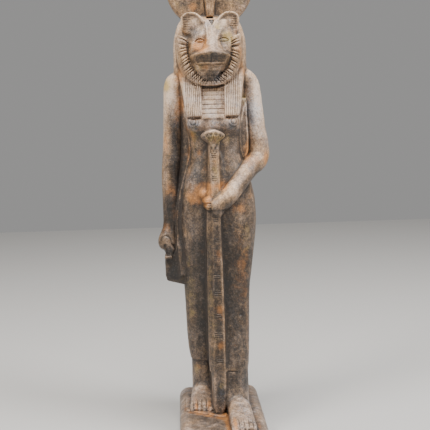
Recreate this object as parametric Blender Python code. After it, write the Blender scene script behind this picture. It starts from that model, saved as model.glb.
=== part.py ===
# Standing lioness goddess with a sun disk, carved with her plinth from one block of granite.
# Metres, +Z up. She faces -Y, and +X is the viewer's right. The origin is under the middle
# of the plinth.

import math

import bmesh
import bpy
import numpy as np
from mathutils import Vector

# Driving dimensions, in metres
FIGURE_HEIGHT = 0.400  # from the top of the plinth to the tips of the ears
PLINTH_HEIGHT = 0.026
PLINTH_SIDE_MARGIN = 0.0112  # from the outer side of the right foot to the plinth's edge
PLINTH_FRONT_MARGIN = 0.011  # in front of the leading toes
PLINTH_BACK_MARGIN = 0.006  # behind the back pillar
PLINTH_CORNER_RADIUS = 0.010
PLINTH_EDGE_BEVEL = 0.0015
DISK_DIAMETER = 0.0896
DISK_THICKNESS = 0.015
DISK_EDGE_BEVEL = 0.0035
DISK_SINK = 0.012  # how far the disk's lowest point lies below the crown of the head
PILLAR_WIDTH = 0.030
PILLAR_DEPTH = 0.019  # how far the pillar stands out behind her
WEB_THICKNESS = 0.010  # stone left standing between the arms and the body

# The figure is drawn on a grid with this many parts in her height. Every number in the
# tables and shapes below is in grid parts: x from her axis, y from the middle of her body
# and z from the top of the plinth. "Forward" is a distance towards the viewer.
GRID_PARTS = 400.0
PART = FIGURE_HEIGHT / GRID_PARTS

STONE_COLOUR = (0.30, 0.25, 0.20, 1.0)
STONE_ROUGHNESS = 0.62
STONE_METALLIC = 0.0
SMOOTH_ANGLE = 35.0  # degrees

# Body and sheath dress, from the neck to the hem:
# z, left side, right side, forward over the right leg, forward over the left leg, back
BODY_SECTIONS = (
    (344.0, -17.0, 17.0, 12.0, 12.0, 12.0),
    (338.5, -32.0, 32.0, 15.0, 15.0, 16.0),
    (331.0, -36.0, 36.0, 18.0, 18.0, 19.0),
    (318.0, -32.5, 33.0, 21.0, 21.0, 20.0),
    (304.0, -29.0, 30.0, 23.0, 23.0, 20.0),
    (290.0, -27.3, 28.4, 23.5, 23.5, 19.0),
    (277.0, -25.2, 27.8, 21.5, 21.5, 17.0),
    (265.0, -24.1, 28.2, 20.5, 20.5, 16.5),
    (254.0, -25.4, 30.4, 22.0, 22.0, 17.5),
    (243.0, -30.2, 34.6, 24.0, 24.0, 20.0),
    (227.0, -33.8, 39.0, 26.0, 26.5, 24.0),
    (212.0, -36.6, 41.6, 26.5, 27.5, 27.0),
    (195.0, -38.8, 42.5, 26.5, 29.0, 28.0),
    (180.0, -38.8, 41.4, 26.0, 30.5, 26.5),
    (161.0, -36.4, 38.8, 24.5, 32.0, 23.0),
    (142.0, -34.4, 35.6, 22.5, 33.5, 19.5),
    (120.0, -32.6, 31.8, 19.5, 35.5, 17.5),
    (97.0, -31.6, 30.4, 16.5, 38.5, 17.5),
    (71.0, -30.3, 29.4, 13.0, 43.0, 18.5),
    (41.5, -28.5, 28.4, 9.0, 49.5, 20.0),
)
HEM_RISE = 3.4  # how much higher the hem lies on the viewer's left than on the right
BODY_SIDES = 28
BODY_POWER = 2.3  # 2 is an ellipse, more is squarer
STRIDE_MIDDLE = 3.0  # x where the right leg's front turns into the left leg's
STRIDE_BLEND = 9.0  # half the width over which it does so

# Shins: z, middle x, half width, forward of the front, forward of the back
RIGHT_SHIN = (
    (48.0, -18.2, 10.2, 7.8, -17.0),
    (30.0, -18.2, 10.3, 6.8, -17.0),
    (16.0, -18.3, 10.3, 7.4, -18.0),
    (4.0, -18.7, 10.3, 10.4, -19.0),
)
LEFT_SHIN = (
    (48.0, 15.2, 12.6, 48.6, 22.0),
    (30.0, 15.4, 12.2, 50.0, 25.0),
    (16.0, 16.0, 11.6, 53.4, 31.0),
    (4.0, 16.8, 11.2, 58.2, 36.0),
)
SHIN_SIDES = 20
SHIN_POWER = 2.9
LEG_WEB_LOW = (-2.0, -34.0, -2.0)
LEG_WEB_HIGH = (14.0, 30.0, 46.0)

# A foot from heel to the roots of the toes: forward of the heel, half width, height
FOOT_SECTIONS = (
    (0.0, 5.6, 8.0),
    (4.0, 9.4, 14.0),
    (14.0, 10.8, 17.4),
    (24.0, 11.3, 15.2),
    (34.0, 11.9, 11.2),
    (43.0, 12.3, 7.8),
    (50.0, 12.0, 5.4),
    (53.0, 10.4, 3.4),
)
FOOT_LENGTH = 62.0
FOOT_HALF_WIDTH = 12.4
FOOT_RING_STEPS = 9
FOOT_SQUARENESS = (0.8, 0.5)  # across and upwards: 1 is round, less is squarer
FOOT_SINK = 2.0
RIGHT_HEEL = (-19.6, -18.0)  # x of the foot's middle, forward of the heel
LEFT_HEEL = (17.8, 42.0)
TOE_WIDTHS = (7.4, 4.8, 4.5, 4.1, 3.6)  # from the big toe outwards
TOE_OVERLAP = 1.06  # a toe's width as a share of its place
TOE_LENGTH = 20.0
TOE_HEIGHT = 4.6
TOE_SETBACK = 1.6  # how much each toe ends behind the one before it

# Arms from inside the shoulder to the fist: x, y, z, half width, half depth
RIGHT_ARM = (
    (-24.0, 0.5, 337.5, 6.0, 9.0),
    (-31.6, 0.5, 337.2, 7.6, 11.0),
    (-36.6, 0.5, 333.2, 10.2, 12.0),
    (-38.6, 0.5, 327.5, 10.2, 12.0),
    (-39.4, 0.5, 319.0, 9.8, 12.0),
    (-40.1, 0.5, 304.0, 9.7, 11.5),
    (-41.2, 0.0, 284.0, 9.5, 11.0),
    (-42.8, -1.0, 260.0, 9.4, 10.5),
    (-44.7, -2.0, 236.0, 9.1, 10.0),
    (-45.1, -3.0, 213.0, 8.6, 9.0),
    (-45.5, -4.0, 193.0, 8.1, 8.2),
    (-46.3, -4.5, 186.0, 8.2, 8.8),
    (-47.8, -5.5, 179.5, 8.9, 10.2),
    (-49.8, -6.5, 173.6, 9.6, 11.4),
    (-50.6, -6.5, 170.6, 9.4, 11.6),
    (-48.4, -6.0, 166.4, 6.8, 11.0),
    (-47.2, -5.5, 161.0, 5.8, 9.6),
    (-47.4, -5.0, 155.5, 5.0, 8.0),
)
LEFT_ARM = (
    (24.0, 0.5, 338.5, 6.0, 9.0),
    (31.8, 0.5, 338.6, 8.6, 11.0),
    (36.8, 0.5, 334.2, 9.8, 12.0),
    (39.6, 0.5, 327.5, 9.9, 12.0),
    (40.7, 0.5, 319.0, 9.8, 12.0),
    (42.5, 0.5, 304.0, 9.7, 11.5),
    (44.5, 0.5, 286.0, 9.7, 11.0),
    (46.7, 0.3, 271.0, 10.3, 11.0),
    (47.3, -0.5, 260.0, 10.6, 11.2),
    (44.2, -4.5, 252.0, 10.6, 11.0),
    (37.8, -9.5, 246.5, 9.9, 10.2),
    (29.4, -17.0, 237.5, 9.5, 9.7),
    (20.2, -26.0, 226.5, 9.1, 9.3),
    (11.2, -34.0, 218.0, 9.2, 9.4),
    (3.6, -39.5, 214.6, 9.4, 9.2),
    (-2.6, -42.0, 213.6, 8.6, 8.0),
    (-7.4, -43.0, 213.6, 6.0, 6.0),
)
ARM_SIDES = 14
ARM_POWER = 2.15
PEBBLE_SQUARENESS = 0.25  # of the rounded blocks in the hands: 0 is a ball, 1 a block
THUMB_MIDDLE = (-48.6, -16.6, 168.0)
THUMB_SIZE = (6.5, 6.5, 17.0)
THUMB_KNUCKLE_MIDDLE = (-52.6, -16.4, 172.0)
THUMB_KNUCKLE_SIZE = (8.0, 6.0, 6.0)
# Panel of stone between the fist and the dress, with the looped cross that the fist holds
PANEL_OUTER_X = -52.4
PANEL_INNER_X = -20.0
PANEL_TOP = 188.0
PANEL_BOTTOM = 130.4
PANEL_BOTTOM_FALL = 8.0  # how much lower its edge lies at the dress
PANEL_CORNER = 3.5
PANEL_FORWARD = 10.5
PANEL_BACK = 6.0
CROSS_BAR_Z = 152.8
CROSS_RELIEF = 1.0
CROSS_STROKE = 2.8
CROSS_BAR_REACH = 2.6  # how far the ends of the bar stand out of the panel
CROSS_INNER_X = -46.4

# The left fist around the sceptre
GRIP_MIDDLE = (-3.4, -41.0, 214.8)
GRIP_SIZE = (23.0, 21.0, 20.5)
FINGER_COUNT = 4
FINGER_PITCH = 2.45
FINGER_OFFSET = (-5.4, -7.6, -4.3)  # from the middle of the fist to the middle of the four
FINGER_SIZE = (13.0, 9.0)
FINGER_OVERLAP = 1.06
LEFT_THUMB_OFFSET = (-6.4, -3.5, 5.6)
LEFT_THUMB_SIZE = (15.0, 15.0, 12.8)
WEB_TOP = 330.0
WEB_LEFT_BOTTOM = 250.0  # inside the bend of the elbow
WEB_X = (20.0, 44.0)

# Sceptre: z, left root, left edge of the face, right edge of the face, right root, forward
SCEPTRE_SECTIONS = (
    (-1.0, -6.8, -5.4, -0.8, 0.6, 50.0),
    (3.0, -8.8, -6.4, 1.0, 2.8, 51.5),
    (9.0, -10.0, -7.0, 2.5, 4.6, 51.0),
    (34.0, -10.8, -7.0, 3.5, 5.6, 47.0),
    (80.0, -11.3, -6.6, 3.3, 5.2, 44.0),
    (126.0, -11.0, -5.6, 3.3, 4.9, 42.0),
    (196.0, -10.0, -4.6, 2.1, 3.8, 41.0),
    (232.0, -8.0, -4.6, 2.4, 4.6, 38.5),
    (266.0, -6.6, -4.6, 2.2, 4.0, 36.5),
)
SCEPTRE_ROOT = 8.0  # forward of the face that is buried in the body
SCEPTRE_LINE_HEIGHTS = (54.5, 80.0, 99.4, 121.7, 138.8, 157.2, 175.4, 195.8)
SCEPTRE_RING_HEIGHTS = (236.6, 259.0)
LINES_IN_GROUP = 3
LINE_PITCH = 1.9
LINE_WIDTH = 0.9
LINE_DEPTH = 0.8
LINE_INSET = 0.7  # from the edge of the face to the end of a line
FLANK_DEPTH = 6.2  # from the face to the root of the wide left flank
# Umbel: z, half width, forward of its front
UMBEL_SECTIONS = (
    (263.0, 3.2, 34.0),
    (268.0, 4.8, 37.6),
    (272.0, 5.8, 38.8),
    (275.0, 8.4, 40.2),
    (278.0, 11.4, 41.6),
    (280.2, 11.6, 42.0),
    (283.0, 8.2, 41.2),
    (284.8, 3.0, 39.0),
)
UMBEL_X = -1.3
UMBEL_ROOT = 12.0
UMBEL_SIDES = 18
UMBEL_POWER = 2.6

BREAST_X = 20.4
BREAST_Z = 291.0
BREAST_FORWARD = 20.0
NIPPLE_RISE = 1.6  # above the middle of the breast
NIPPLE_SINK = 0.8  # its middle lies this far within the breast
BREAST_SIZE = (8.2, 4.4, 9.0)  # half width, depth, half height
NIPPLE_SIZE = (3.2, 1.5, 2.7)

# Necklace between the lappets
NECKLACE_MIDDLE_X = 0.4
NECKLACE_HALF_WIDTH = 12.0
NECKLACE_TOP = 342.0
NECKLACE_ROW = 4.56
NECKLACE_ROWS = 10
NECKLACE_FORWARD_TOP = 20.0
NECKLACE_FORWARD_BOTTOM = 26.5
NECKLACE_GROOVE = 0.9
NECKLACE_SLOPE = 0.14  # each side of a groove, as a share of a row
NECKLACE_ROOT = 8.0

# Lappets of the wig: z, inner x, outer x, forward
LAPPET_SECTIONS = (
    (347.0, 12.0, 34.0, 17.0),
    (339.0, 11.9, 33.0, 21.5),
    (324.0, 11.7, 30.4, 25.5),
    (310.0, 11.5, 28.3, 28.0),
    (298.5, 11.4, 26.4, 29.0),
)
LAPPET_STRANDS = 8
LAPPET_STRAND_BAND = 15.0  # the width from the inner edge that is cut into strands
STRAND_DEPTH = 0.9
LAPPET_ROOT = 8.0
LAPPET_FALL = 5.0  # how far the surface turns back towards the outer edge
LAPPET_EDGE = 2.0  # how much further back it turns at the outer edge itself

# Head. The wig: z, half width, forward, back
WIG_X = -0.8
WIG_SECTIONS = (
    (323.0, 33.0, 6.0, 33.0),
    (335.0, 36.2, 13.0, 35.0),
    (346.0, 37.2, 17.0, 36.5),
    (357.0, 36.8, 18.5, 37.5),
    (367.0, 37.0, 19.0, 38.0),
    (377.0, 36.0, 19.0, 37.0),
    (386.0, 33.6, 18.0, 34.0),
    (393.0, 31.0, 15.5, 29.0),
    (397.6, 26.0, 11.0, 22.0),
    (399.2, 14.0, 4.0, 12.0),
)
WIG_SIDES = 28
WIG_POWER = 2.2
CROWN = 399.2

# The ruff of mane around the face
RUFF_X = -2.1
RUFF_MIDDLE_Z = 366.0
RUFF_OUTER = (32.6, 37.8)  # half width, drop
RUFF_INNER = (22.8, 32.0)
RUFF_OUTER_POWER = 2.5
RUFF_INNER_POWER = 1.9
RUFF_START = 164.0  # degrees, measured from the viewer's right, against the clock
RUFF_END = 377.0
RUFF_LOCKS = 38
LOCK_DEPTH = 1.1
LOCK_TIP = 0.07  # how much further a lock reaches than a groove, as a share of the width
# across a lock, from the inner edge to the outer: share of the width, forward
RUFF_PROFILE = ((0.0, 27.0), (0.3, 30.4), (0.7, 29.4), (1.0, 24.5))
RUFF_ROOT = 10.0

# Face, down its middle line: z, forward, half width of the ridge, softness of its sides
FACE_LINE = (
    (331.0, 27.0, 3.0, 5.0),
    (335.0, 33.5, 6.0, 5.0),
    (340.0, 38.0, 9.0, 4.5),
    (345.0, 40.0, 11.6, 4.0),
    (347.4, 39.5, 13.4, 3.5),
    (349.2, 43.0, 15.4, 2.6),
    (354.5, 46.0, 16.0, 2.8),
    (357.5, 47.3, 14.2, 3.6),
    (360.4, 47.0, 10.8, 5.0),
    (364.5, 43.0, 8.0, 4.5),
    (372.0, 38.0, 5.6, 3.5),
    (381.0, 33.0, 5.4, 4.0),
    (388.0, 28.6, 5.4, 5.0),
    (392.5, 25.5, 5.4, 5.0),
)
FACE_X = -0.6
FACE_LEAN = 0.09  # sideways for each part upwards, from the middle of the face
FACE_HALF_WIDTH = 25.0
FACE_ROWS = 30
FACE_COLUMNS = (3, 2, 6)  # on each side: over the ridge, down its side, over the cheek
FACE_ROOT = 6.0
SKULL = (31.0, 44.0, 31.5)  # half width, half height, depth
SKULL_Z = 366.0
SKULL_LEAST = 0.04
EYE_X = 11.0
EYE_Z = 372.3
EYE_SIZE = (5.0, 2.3)
EYE_BULGE = 2.2
SOCKET_SIZE = (6.5, 4.0)
SOCKET_DEPTH = 2.4
BROW_RISE = 5.6
BROW_SIZE = (7.0, 2.4)
BROW_BULGE = 2.2
CHEEK_GROOVE_X = 20.5
CHEEK_GROOVE_WIDTH = 2.6
CHEEK_GROOVE_DEPTH = 1.2
CHEEK_GROOVE_SPAN = (-22.3, 7.7)  # upwards from the eyes
LIP_GROOVE_WIDTH = 1.0
LIP_GROOVE_DEPTH = 1.4
LIP_GROOVE_SPAN = (-22.3, -14.3)  # upwards from the eyes
FADE = 5.0  # the height over which a groove runs out

EAR_X = 16.6
EAR_OFFSET = -0.4
EAR_Z = 390.0
EAR_Y = -17.5
EAR_TURN = 14.0  # degrees, outwards
EAR_TILT = 0.3  # forward for each part upwards
# the ear's edge, from its middle: outwards, upwards
EAR_OUTLINE = (
    (12.4, 0.0),
    (12.2, 4.6),
    (9.6, 8.8),
    (4.8, 11.0),
    (-0.6, 10.8),
    (-5.4, 8.6),
    (-9.2, 4.6),
    (-12.4, -0.4),
    (-14.0, -5.6),
    (-10.0, -9.0),
    (-4.0, -10.0),
    (3.0, -10.2),
    (9.4, -9.4),
    (12.2, -5.0),
)
# share of the outline, forward of its middle
EAR_PROFILE = (
    (0.0, 0.6),
    (0.6, 0.4),
    (0.8, 3.6),
    (0.92, 3.9),
    (1.0, 2.2),
    (0.95, -4.0),
    (0.55, -9.0),
    (0.0, -10.5),
)

# The rearing cobra in front of the disk: z, half width, forward of the disk's face
COBRA_SECTIONS = (
    (396.0, 4.0, 4.0),
    (401.0, 4.5, 4.4),
    (409.0, 4.7, 4.6),
    (416.0, 5.8, 4.8),
    (424.0, 5.4, 5.2),
    (430.0, 3.4, 6.0),
    (434.0, 3.2, 8.0),
    (437.0, 2.2, 7.5),
    (438.5, 1.2, 4.0),
)
COBRA_X = 0.4
COBRA_ROOT = 3.0  # how far its back is let into the disk
COBRA_SIDES = 12
COBRA_POWER = 2.4
DISK_X = 0.4
DISK_Y = 1.0
DISK_SIDES = 48


def soft_step(value, low, high):
    share = min(max((value - low) / (high - low), 0.0), 1.0)
    return share * share * (3.0 - 2.0 * share)


def band(value, low, high):
    """1 between two heights, running out within them."""
    return soft_step(value, low, low + FADE) * (1.0 - soft_step(value, high - FADE, high))


def bump(value, width):
    return math.exp(-((value / width) ** 2))


def signed_power(value, power):
    return math.copysign(abs(value) ** power, value)


def stone():
    material = bpy.data.materials.get("granite")
    if material is None:
        material = bpy.data.materials.new("granite")
        material.use_nodes = True
        shader = material.node_tree.nodes["Principled BSDF"]
        shader.inputs["Base Color"].default_value = STONE_COLOUR
        shader.inputs["Roughness"].default_value = STONE_ROUGHNESS
        shader.inputs["Metallic"].default_value = STONE_METALLIC
    return material


def pillar_back():
    """How far behind the middle of her body the pillar ends, in metres."""
    return max(section[5] for section in BODY_SECTIONS) * PART + PILLAR_DEPTH


def plinth_reach():
    """How far the plinth runs in front of and behind the middle of her body, in metres."""
    toes = (LEFT_HEEL[1] + FOOT_LENGTH) * PART
    return toes + PLINTH_FRONT_MARGIN, pillar_back() + PLINTH_BACK_MARGIN


def plinth_width():
    outer = max(LEFT_HEEL[0], -RIGHT_HEEL[0]) + FOOT_HALF_WIDTH
    return 2.0 * (outer * PART + PLINTH_SIDE_MARGIN)


def figure_origin():
    """Where her axis meets the top of the plinth, in metres."""
    front, back = plinth_reach()
    return Vector((0.0, (front - back) / 2.0, PLINTH_HEIGHT))


def add_object(name, bm, collection, flat=False):
    bmesh.ops.recalc_face_normals(bm, faces=bm.faces)
    mesh = bpy.data.meshes.new(name)
    bm.to_mesh(mesh)
    bm.free()
    mesh.materials.append(stone())
    if not flat:
        mesh.shade_smooth()
        mesh.set_sharp_from_angle(angle=math.radians(SMOOTH_ANGLE))
    obj = bpy.data.objects.new(name, mesh)
    collection.objects.link(obj)
    return obj


def add_form(name, bm, forms, on_grid=True, flat=False):
    """Keeps a closed shape as a hidden form that the statue takes in."""
    if on_grid:
        bmesh.ops.scale(bm, vec=(PART, PART, PART), verts=bm.verts)
        bmesh.ops.translate(bm, vec=figure_origin(), verts=bm.verts)
    obj = add_object(name, bm, forms, flat)
    obj.hide_render = True
    obj.display_type = "WIRE"


def loft(rings):
    """A closed skin over rings with equal numbers of points, with flat ends."""
    bm = bmesh.new()
    rows = [[bm.verts.new(point) for point in ring] for ring in rings]
    for lower, upper in zip(rows, rows[1:]):
        count = len(lower)
        for i in range(count):
            j = (i + 1) % count
            bm.faces.new((lower[i], lower[j], upper[j], upper[i]))
    bm.faces.new(rows[0])
    bm.faces.new(rows[-1])
    return bm


def prism(outline, front, back):
    """An outline seen from the front, as (x, z), given a depth from front to back."""
    return loft([[(x, y, z) for x, z in outline] for y in (front, back)])


def box(low, high):
    bm = bmesh.new()
    bmesh.ops.create_cube(bm, size=1.0)
    bmesh.ops.scale(bm, vec=[b - a for a, b in zip(low, high)], verts=bm.verts)
    bmesh.ops.translate(bm, vec=[(a + b) / 2.0 for a, b in zip(low, high)], verts=bm.verts)
    return bm


def ball(middle, size, sides, rows):
    bm = bmesh.new()
    bmesh.ops.create_uvsphere(bm, u_segments=sides, v_segments=rows, radius=1.0)
    bmesh.ops.scale(bm, vec=size, verts=bm.verts)
    bmesh.ops.translate(bm, vec=middle, verts=bm.verts)
    return bm


def pebble(middle, size, cuts=2):
    """A rounded block: a cut cube whose points are drawn part of the way onto a ball."""
    bm = bmesh.new()
    bmesh.ops.create_cube(bm, size=2.0)
    bmesh.ops.subdivide_edges(bm, edges=bm.edges, cuts=cuts, use_grid_fill=True)
    for vert in bm.verts:
        on_ball = vert.co.normalized()
        vert.co = on_ball.lerp(vert.co, PEBBLE_SQUARENESS)
    reach = [max(vert.co[axis] for vert in bm.verts) for axis in range(3)]
    bmesh.ops.scale(bm, vec=[size[k] / 2.0 / reach[k] for k in range(3)], verts=bm.verts)
    bmesh.ops.translate(bm, vec=middle, verts=bm.verts)
    return bm


def oval(count, power):
    """Directions around a rounded section, as (across, forward) from -1 to 1."""
    for i in range(count):
        angle = 2.0 * math.pi * i / count
        across = signed_power(math.cos(angle), 2.0 / power)
        ahead = signed_power(math.sin(angle), 2.0 / power)
        yield across, ahead


def section_at(sections, z):
    """The values of a table at a height between its rows."""
    rows = sorted(sections)
    heights = [row[0] for row in rows]
    return [float(np.interp(z, heights, [row[k] for row in rows])) for k in range(1, len(rows[0]))]


def body_ring(section):
    z, left, right, forward_right, forward_left, back = section
    rise = HEM_RISE if section == BODY_SECTIONS[-1] else 0.0
    ring = []
    for across, ahead in oval(BODY_SIDES, BODY_POWER):
        x = across * (right if across > 0.0 else -left)
        share = soft_step(x, STRIDE_MIDDLE - STRIDE_BLEND, STRIDE_MIDDLE + STRIDE_BLEND)
        front = forward_right + (forward_left - forward_right) * share
        middle = (front - back) / 2.0
        level = z + rise * (right - x) / (right - left)
        ring.append((x, -(middle + (front + back) / 2.0 * ahead), level))
    return ring


def make_body(forms):
    add_form("body", loft([body_ring(section) for section in BODY_SECTIONS]), forms)


def make_shin(name, sections, forms):
    rings = []
    for z, x, half_width, front, back in sections:
        middle = (front + back) / 2.0
        depth = (front - back) / 2.0
        ring = [
            (x + half_width * across, -(middle + depth * ahead), z)
            for across, ahead in oval(SHIN_SIDES, SHIN_POWER)
        ]
        rings.append(ring)
    add_form(name, loft(rings), forms)


def foot_ring(heel, ahead, half_width, height):
    middle, start = heel
    y = -(start + ahead)
    ring = []
    for i in range(FOOT_RING_STEPS + 1):
        angle = math.pi * i / FOOT_RING_STEPS
        across = signed_power(math.cos(angle), FOOT_SQUARENESS[0])
        rise = signed_power(math.sin(angle), FOOT_SQUARENESS[1])
        ring.append((middle + half_width * across, y, height * rise))
    ring.append((middle - half_width, y, -FOOT_SINK))
    ring.append((middle + half_width, y, -FOOT_SINK))
    return ring


def make_foot(name, heel, side, forms):
    """A foot with five toes. Side is 1 where the big toe is on the viewer's left, else -1."""
    add_form(name, loft([foot_ring(heel, *section) for section in FOOT_SECTIONS]), forms)
    share = 2.0 * FOOT_HALF_WIDTH / sum(TOE_WIDTHS)
    edge = heel[0] - side * FOOT_HALF_WIDTH
    for i, toe_width in enumerate(TOE_WIDTHS):
        width = toe_width * share
        tip = heel[1] + FOOT_LENGTH - i * TOE_SETBACK
        middle = (edge + side * width / 2.0, -(tip - TOE_LENGTH / 2.0), TOE_HEIGHT / 2.0)
        size = (width * TOE_OVERLAP / 2.0, TOE_LENGTH / 2.0, TOE_HEIGHT)
        add_form(f"{name}_toe_{i + 1}", ball(middle, size, 8, 6), forms)
        edge += side * width


def limb(sections):
    """A limb whose sections lie across the line between the ones before and after them."""
    rings = []
    for i, (x, y, z, half_width, half_depth) in enumerate(sections):
        before = Vector(sections[max(i - 1, 0)][:3])
        after = Vector(sections[min(i + 1, len(sections) - 1)][:3])
        along = (after - before).normalized()
        across = along.cross(Vector((0.0, 1.0, 0.0))).normalized()
        ahead = across.cross(along).normalized()
        ring = [
            Vector((x, y, z)) + across * half_width * a + ahead * half_depth * b
            for a, b in oval(ARM_SIDES, ARM_POWER)
        ]
        rings.append(ring)
    return loft(rings)


def make_hand_panel(forms):
    corner = []
    for i in range(4):
        angle = math.pi + math.pi / 2.0 * i / 3
        x = PANEL_OUTER_X + PANEL_CORNER * (1.0 + math.cos(angle))
        z = PANEL_BOTTOM + PANEL_CORNER * (1.0 + math.sin(angle))
        corner.append((x, z))
    outline = [(PANEL_OUTER_X, PANEL_TOP)] + corner
    outline += [(PANEL_INNER_X, PANEL_BOTTOM - PANEL_BOTTOM_FALL), (PANEL_INNER_X, PANEL_TOP)]
    add_form("hand_panel", prism(outline, -PANEL_FORWARD, PANEL_BACK), forms, flat=True)
    half = CROSS_STROKE / 2.0
    face = PANEL_OUTER_X - CROSS_RELIEF
    front = -PANEL_FORWARD - CROSS_BAR_REACH
    bar = box(
        (face, front, CROSS_BAR_Z - half),
        (CROSS_INNER_X, PANEL_BACK + CROSS_BAR_REACH, CROSS_BAR_Z + half),
    )
    add_form("cross_bar", bar, forms)
    middle = (PANEL_BACK - PANEL_FORWARD) / 2.0
    stem = box(
        (face, middle - half, PANEL_BOTTOM + PANEL_CORNER),
        (CROSS_INNER_X, middle + half, CROSS_BAR_Z),
    )
    add_form("cross_stem", stem, forms)


def make_arms(forms):
    add_form("right_arm", limb(RIGHT_ARM), forms)
    add_form("right_thumb", pebble(THUMB_MIDDLE, THUMB_SIZE), forms)
    add_form("right_thumb_knuckle", pebble(THUMB_KNUCKLE_MIDDLE, THUMB_KNUCKLE_SIZE), forms)
    make_hand_panel(forms)
    add_form("left_arm", limb(LEFT_ARM), forms)
    add_form("left_fist", pebble(GRIP_MIDDLE, GRIP_SIZE, 3), forms)
    fist = Vector(GRIP_MIDDLE)
    thumb = fist + Vector(LEFT_THUMB_OFFSET)
    add_form("left_thumb", pebble(thumb, LEFT_THUMB_SIZE), forms)
    size = FINGER_SIZE + (FINGER_PITCH * FINGER_OVERLAP,)
    for i in range(FINGER_COUNT):
        rise = (i - (FINGER_COUNT - 1) / 2.0) * FINGER_PITCH
        middle = fist + Vector(FINGER_OFFSET) + Vector((0.0, 0.0, rise))
        add_form(f"left_finger_{i + 1}", pebble(middle, size), forms)


def make_webs(forms):
    half = WEB_THICKNESS / PART / 2.0
    near, far = WEB_X
    low = (PANEL_TOP + PANEL_BOTTOM) / 2.0
    right_web = box((-far, -half, low), (-near, half, WEB_TOP))
    add_form("right_web", right_web, forms, flat=True)
    left_web = box((near, -half, WEB_LEFT_BOTTOM), (far, half, WEB_TOP))
    add_form("left_web", left_web, forms, flat=True)
    add_form("leg_web", box(LEG_WEB_LOW, LEG_WEB_HIGH), forms, flat=True)


def sceptre_ring(z, cut):
    left_root, left, right, right_root, forward = section_at(SCEPTRE_SECTIONS, z)
    face = forward - cut
    return [
        (left_root, -SCEPTRE_ROOT, z),
        (left_root, -(forward - FLANK_DEPTH), z),
        (left, -forward, z),
        (left + LINE_INSET, -face, z),
        (right - LINE_INSET, -face, z),
        (right, -forward, z),
        (right_root, -(forward - FLANK_DEPTH / 2.0), z),
        (right_root, -SCEPTRE_ROOT, z),
    ]


def sceptre_heights():
    """Heights of the sceptre's rings, each with its depth of cut."""
    groups = SCEPTRE_LINE_HEIGHTS + SCEPTRE_RING_HEIGHTS
    clear = LINES_IN_GROUP * LINE_PITCH
    levels = []
    for section in SCEPTRE_SECTIONS:
        if all(abs(section[0] - middle) > clear for middle in groups):
            levels.append((section[0], 0.0))
    for middle in groups:
        for i in range(LINES_IN_GROUP):
            z = middle + (i - (LINES_IN_GROUP - 1) / 2.0) * LINE_PITCH
            levels.append((z - LINE_WIDTH / 2.0, 0.0))
            levels.append((z, LINE_DEPTH))
            levels.append((z + LINE_WIDTH / 2.0, 0.0))
    return sorted(levels)


def make_sceptre(forms):
    shaft = loft([sceptre_ring(z, cut) for z, cut in sceptre_heights()])
    add_form("sceptre", shaft, forms)
    rings = []
    for z, half_width, forward in UMBEL_SECTIONS:
        depth = (forward - UMBEL_ROOT) / 2.0
        ring = [
            (UMBEL_X + half_width * across, -(UMBEL_ROOT + depth * (1.0 + ahead)), z)
            for across, ahead in oval(UMBEL_SIDES, UMBEL_POWER)
        ]
        rings.append(ring)
    add_form("umbel", loft(rings), forms)


def make_breasts(forms):
    for name, side in (("right", -1.0), ("left", 1.0)):
        middle = (side * BREAST_X, -BREAST_FORWARD, BREAST_Z)
        add_form(f"{name}_breast", ball(middle, BREAST_SIZE, 14, 8), forms)
        ahead = BREAST_FORWARD + BREAST_SIZE[1] - NIPPLE_SINK
        tip = (side * BREAST_X, -ahead, BREAST_Z + NIPPLE_RISE)
        add_form(f"{name}_nipple", ball(tip, NIPPLE_SIZE, 8, 6), forms)


def make_necklace(forms):
    """Rows parted by grooves: their outline seen from the side, run across the chest."""
    height = NECKLACE_ROW * NECKLACE_ROWS
    outline = []
    for i in range(NECKLACE_ROWS):
        bead = ((0.0, NECKLACE_GROOVE), (NECKLACE_SLOPE, 0.0), (1.0 - NECKLACE_SLOPE, 0.0))
        for share, cut in bead:
            drop = (i + share) * NECKLACE_ROW
            lean = (NECKLACE_FORWARD_BOTTOM - NECKLACE_FORWARD_TOP) * drop / height
            outline.append((-(NECKLACE_FORWARD_TOP + lean - cut), NECKLACE_TOP - drop))
    outline.append((-NECKLACE_ROOT, NECKLACE_TOP - height))
    outline.append((-NECKLACE_ROOT, NECKLACE_TOP))
    ends = (NECKLACE_MIDDLE_X - NECKLACE_HALF_WIDTH, NECKLACE_MIDDLE_X + NECKLACE_HALF_WIDTH)
    add_form("necklace", loft([[(x, y, z) for y, z in outline] for x in ends]), forms)


def make_lappet(name, side, forms):
    rings = []
    for z, inner, outer, forward in LAPPET_SECTIONS:
        ring = []
        for i in range(LAPPET_STRANDS):
            for share, cut in ((0.0, STRAND_DEPTH), (0.5, 0.0)):
                x = inner + LAPPET_STRAND_BAND * (i + share) / LAPPET_STRANDS
                fall = LAPPET_FALL * ((x - inner) / (outer - inner)) ** 3
                ring.append((side * x, -(forward - fall - cut), z))
        ring.append((side * outer, -(forward - LAPPET_FALL - LAPPET_EDGE), z))
        ring.append((side * outer, -LAPPET_ROOT, z))
        ring.append((side * inner, -LAPPET_ROOT, z))
        rings.append(ring)
    add_form(name, loft(rings), forms)


def make_wig(forms):
    rings = []
    for z, half_width, forward, back in WIG_SECTIONS:
        ring = []
        for across, ahead in oval(WIG_SIDES, WIG_POWER):
            y = -ahead * (forward if ahead > 0.0 else back)
            ring.append((WIG_X + half_width * across, y, z))
        rings.append(ring)
    add_form("wig", loft(rings), forms)


def ruff_edge(angle, size, power):
    across = signed_power(math.cos(angle), 2.0 / power)
    rise = signed_power(math.sin(angle), 2.0 / power)
    return Vector((RUFF_X + size[0] * across, RUFF_MIDDLE_Z + size[1] * rise))


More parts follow.
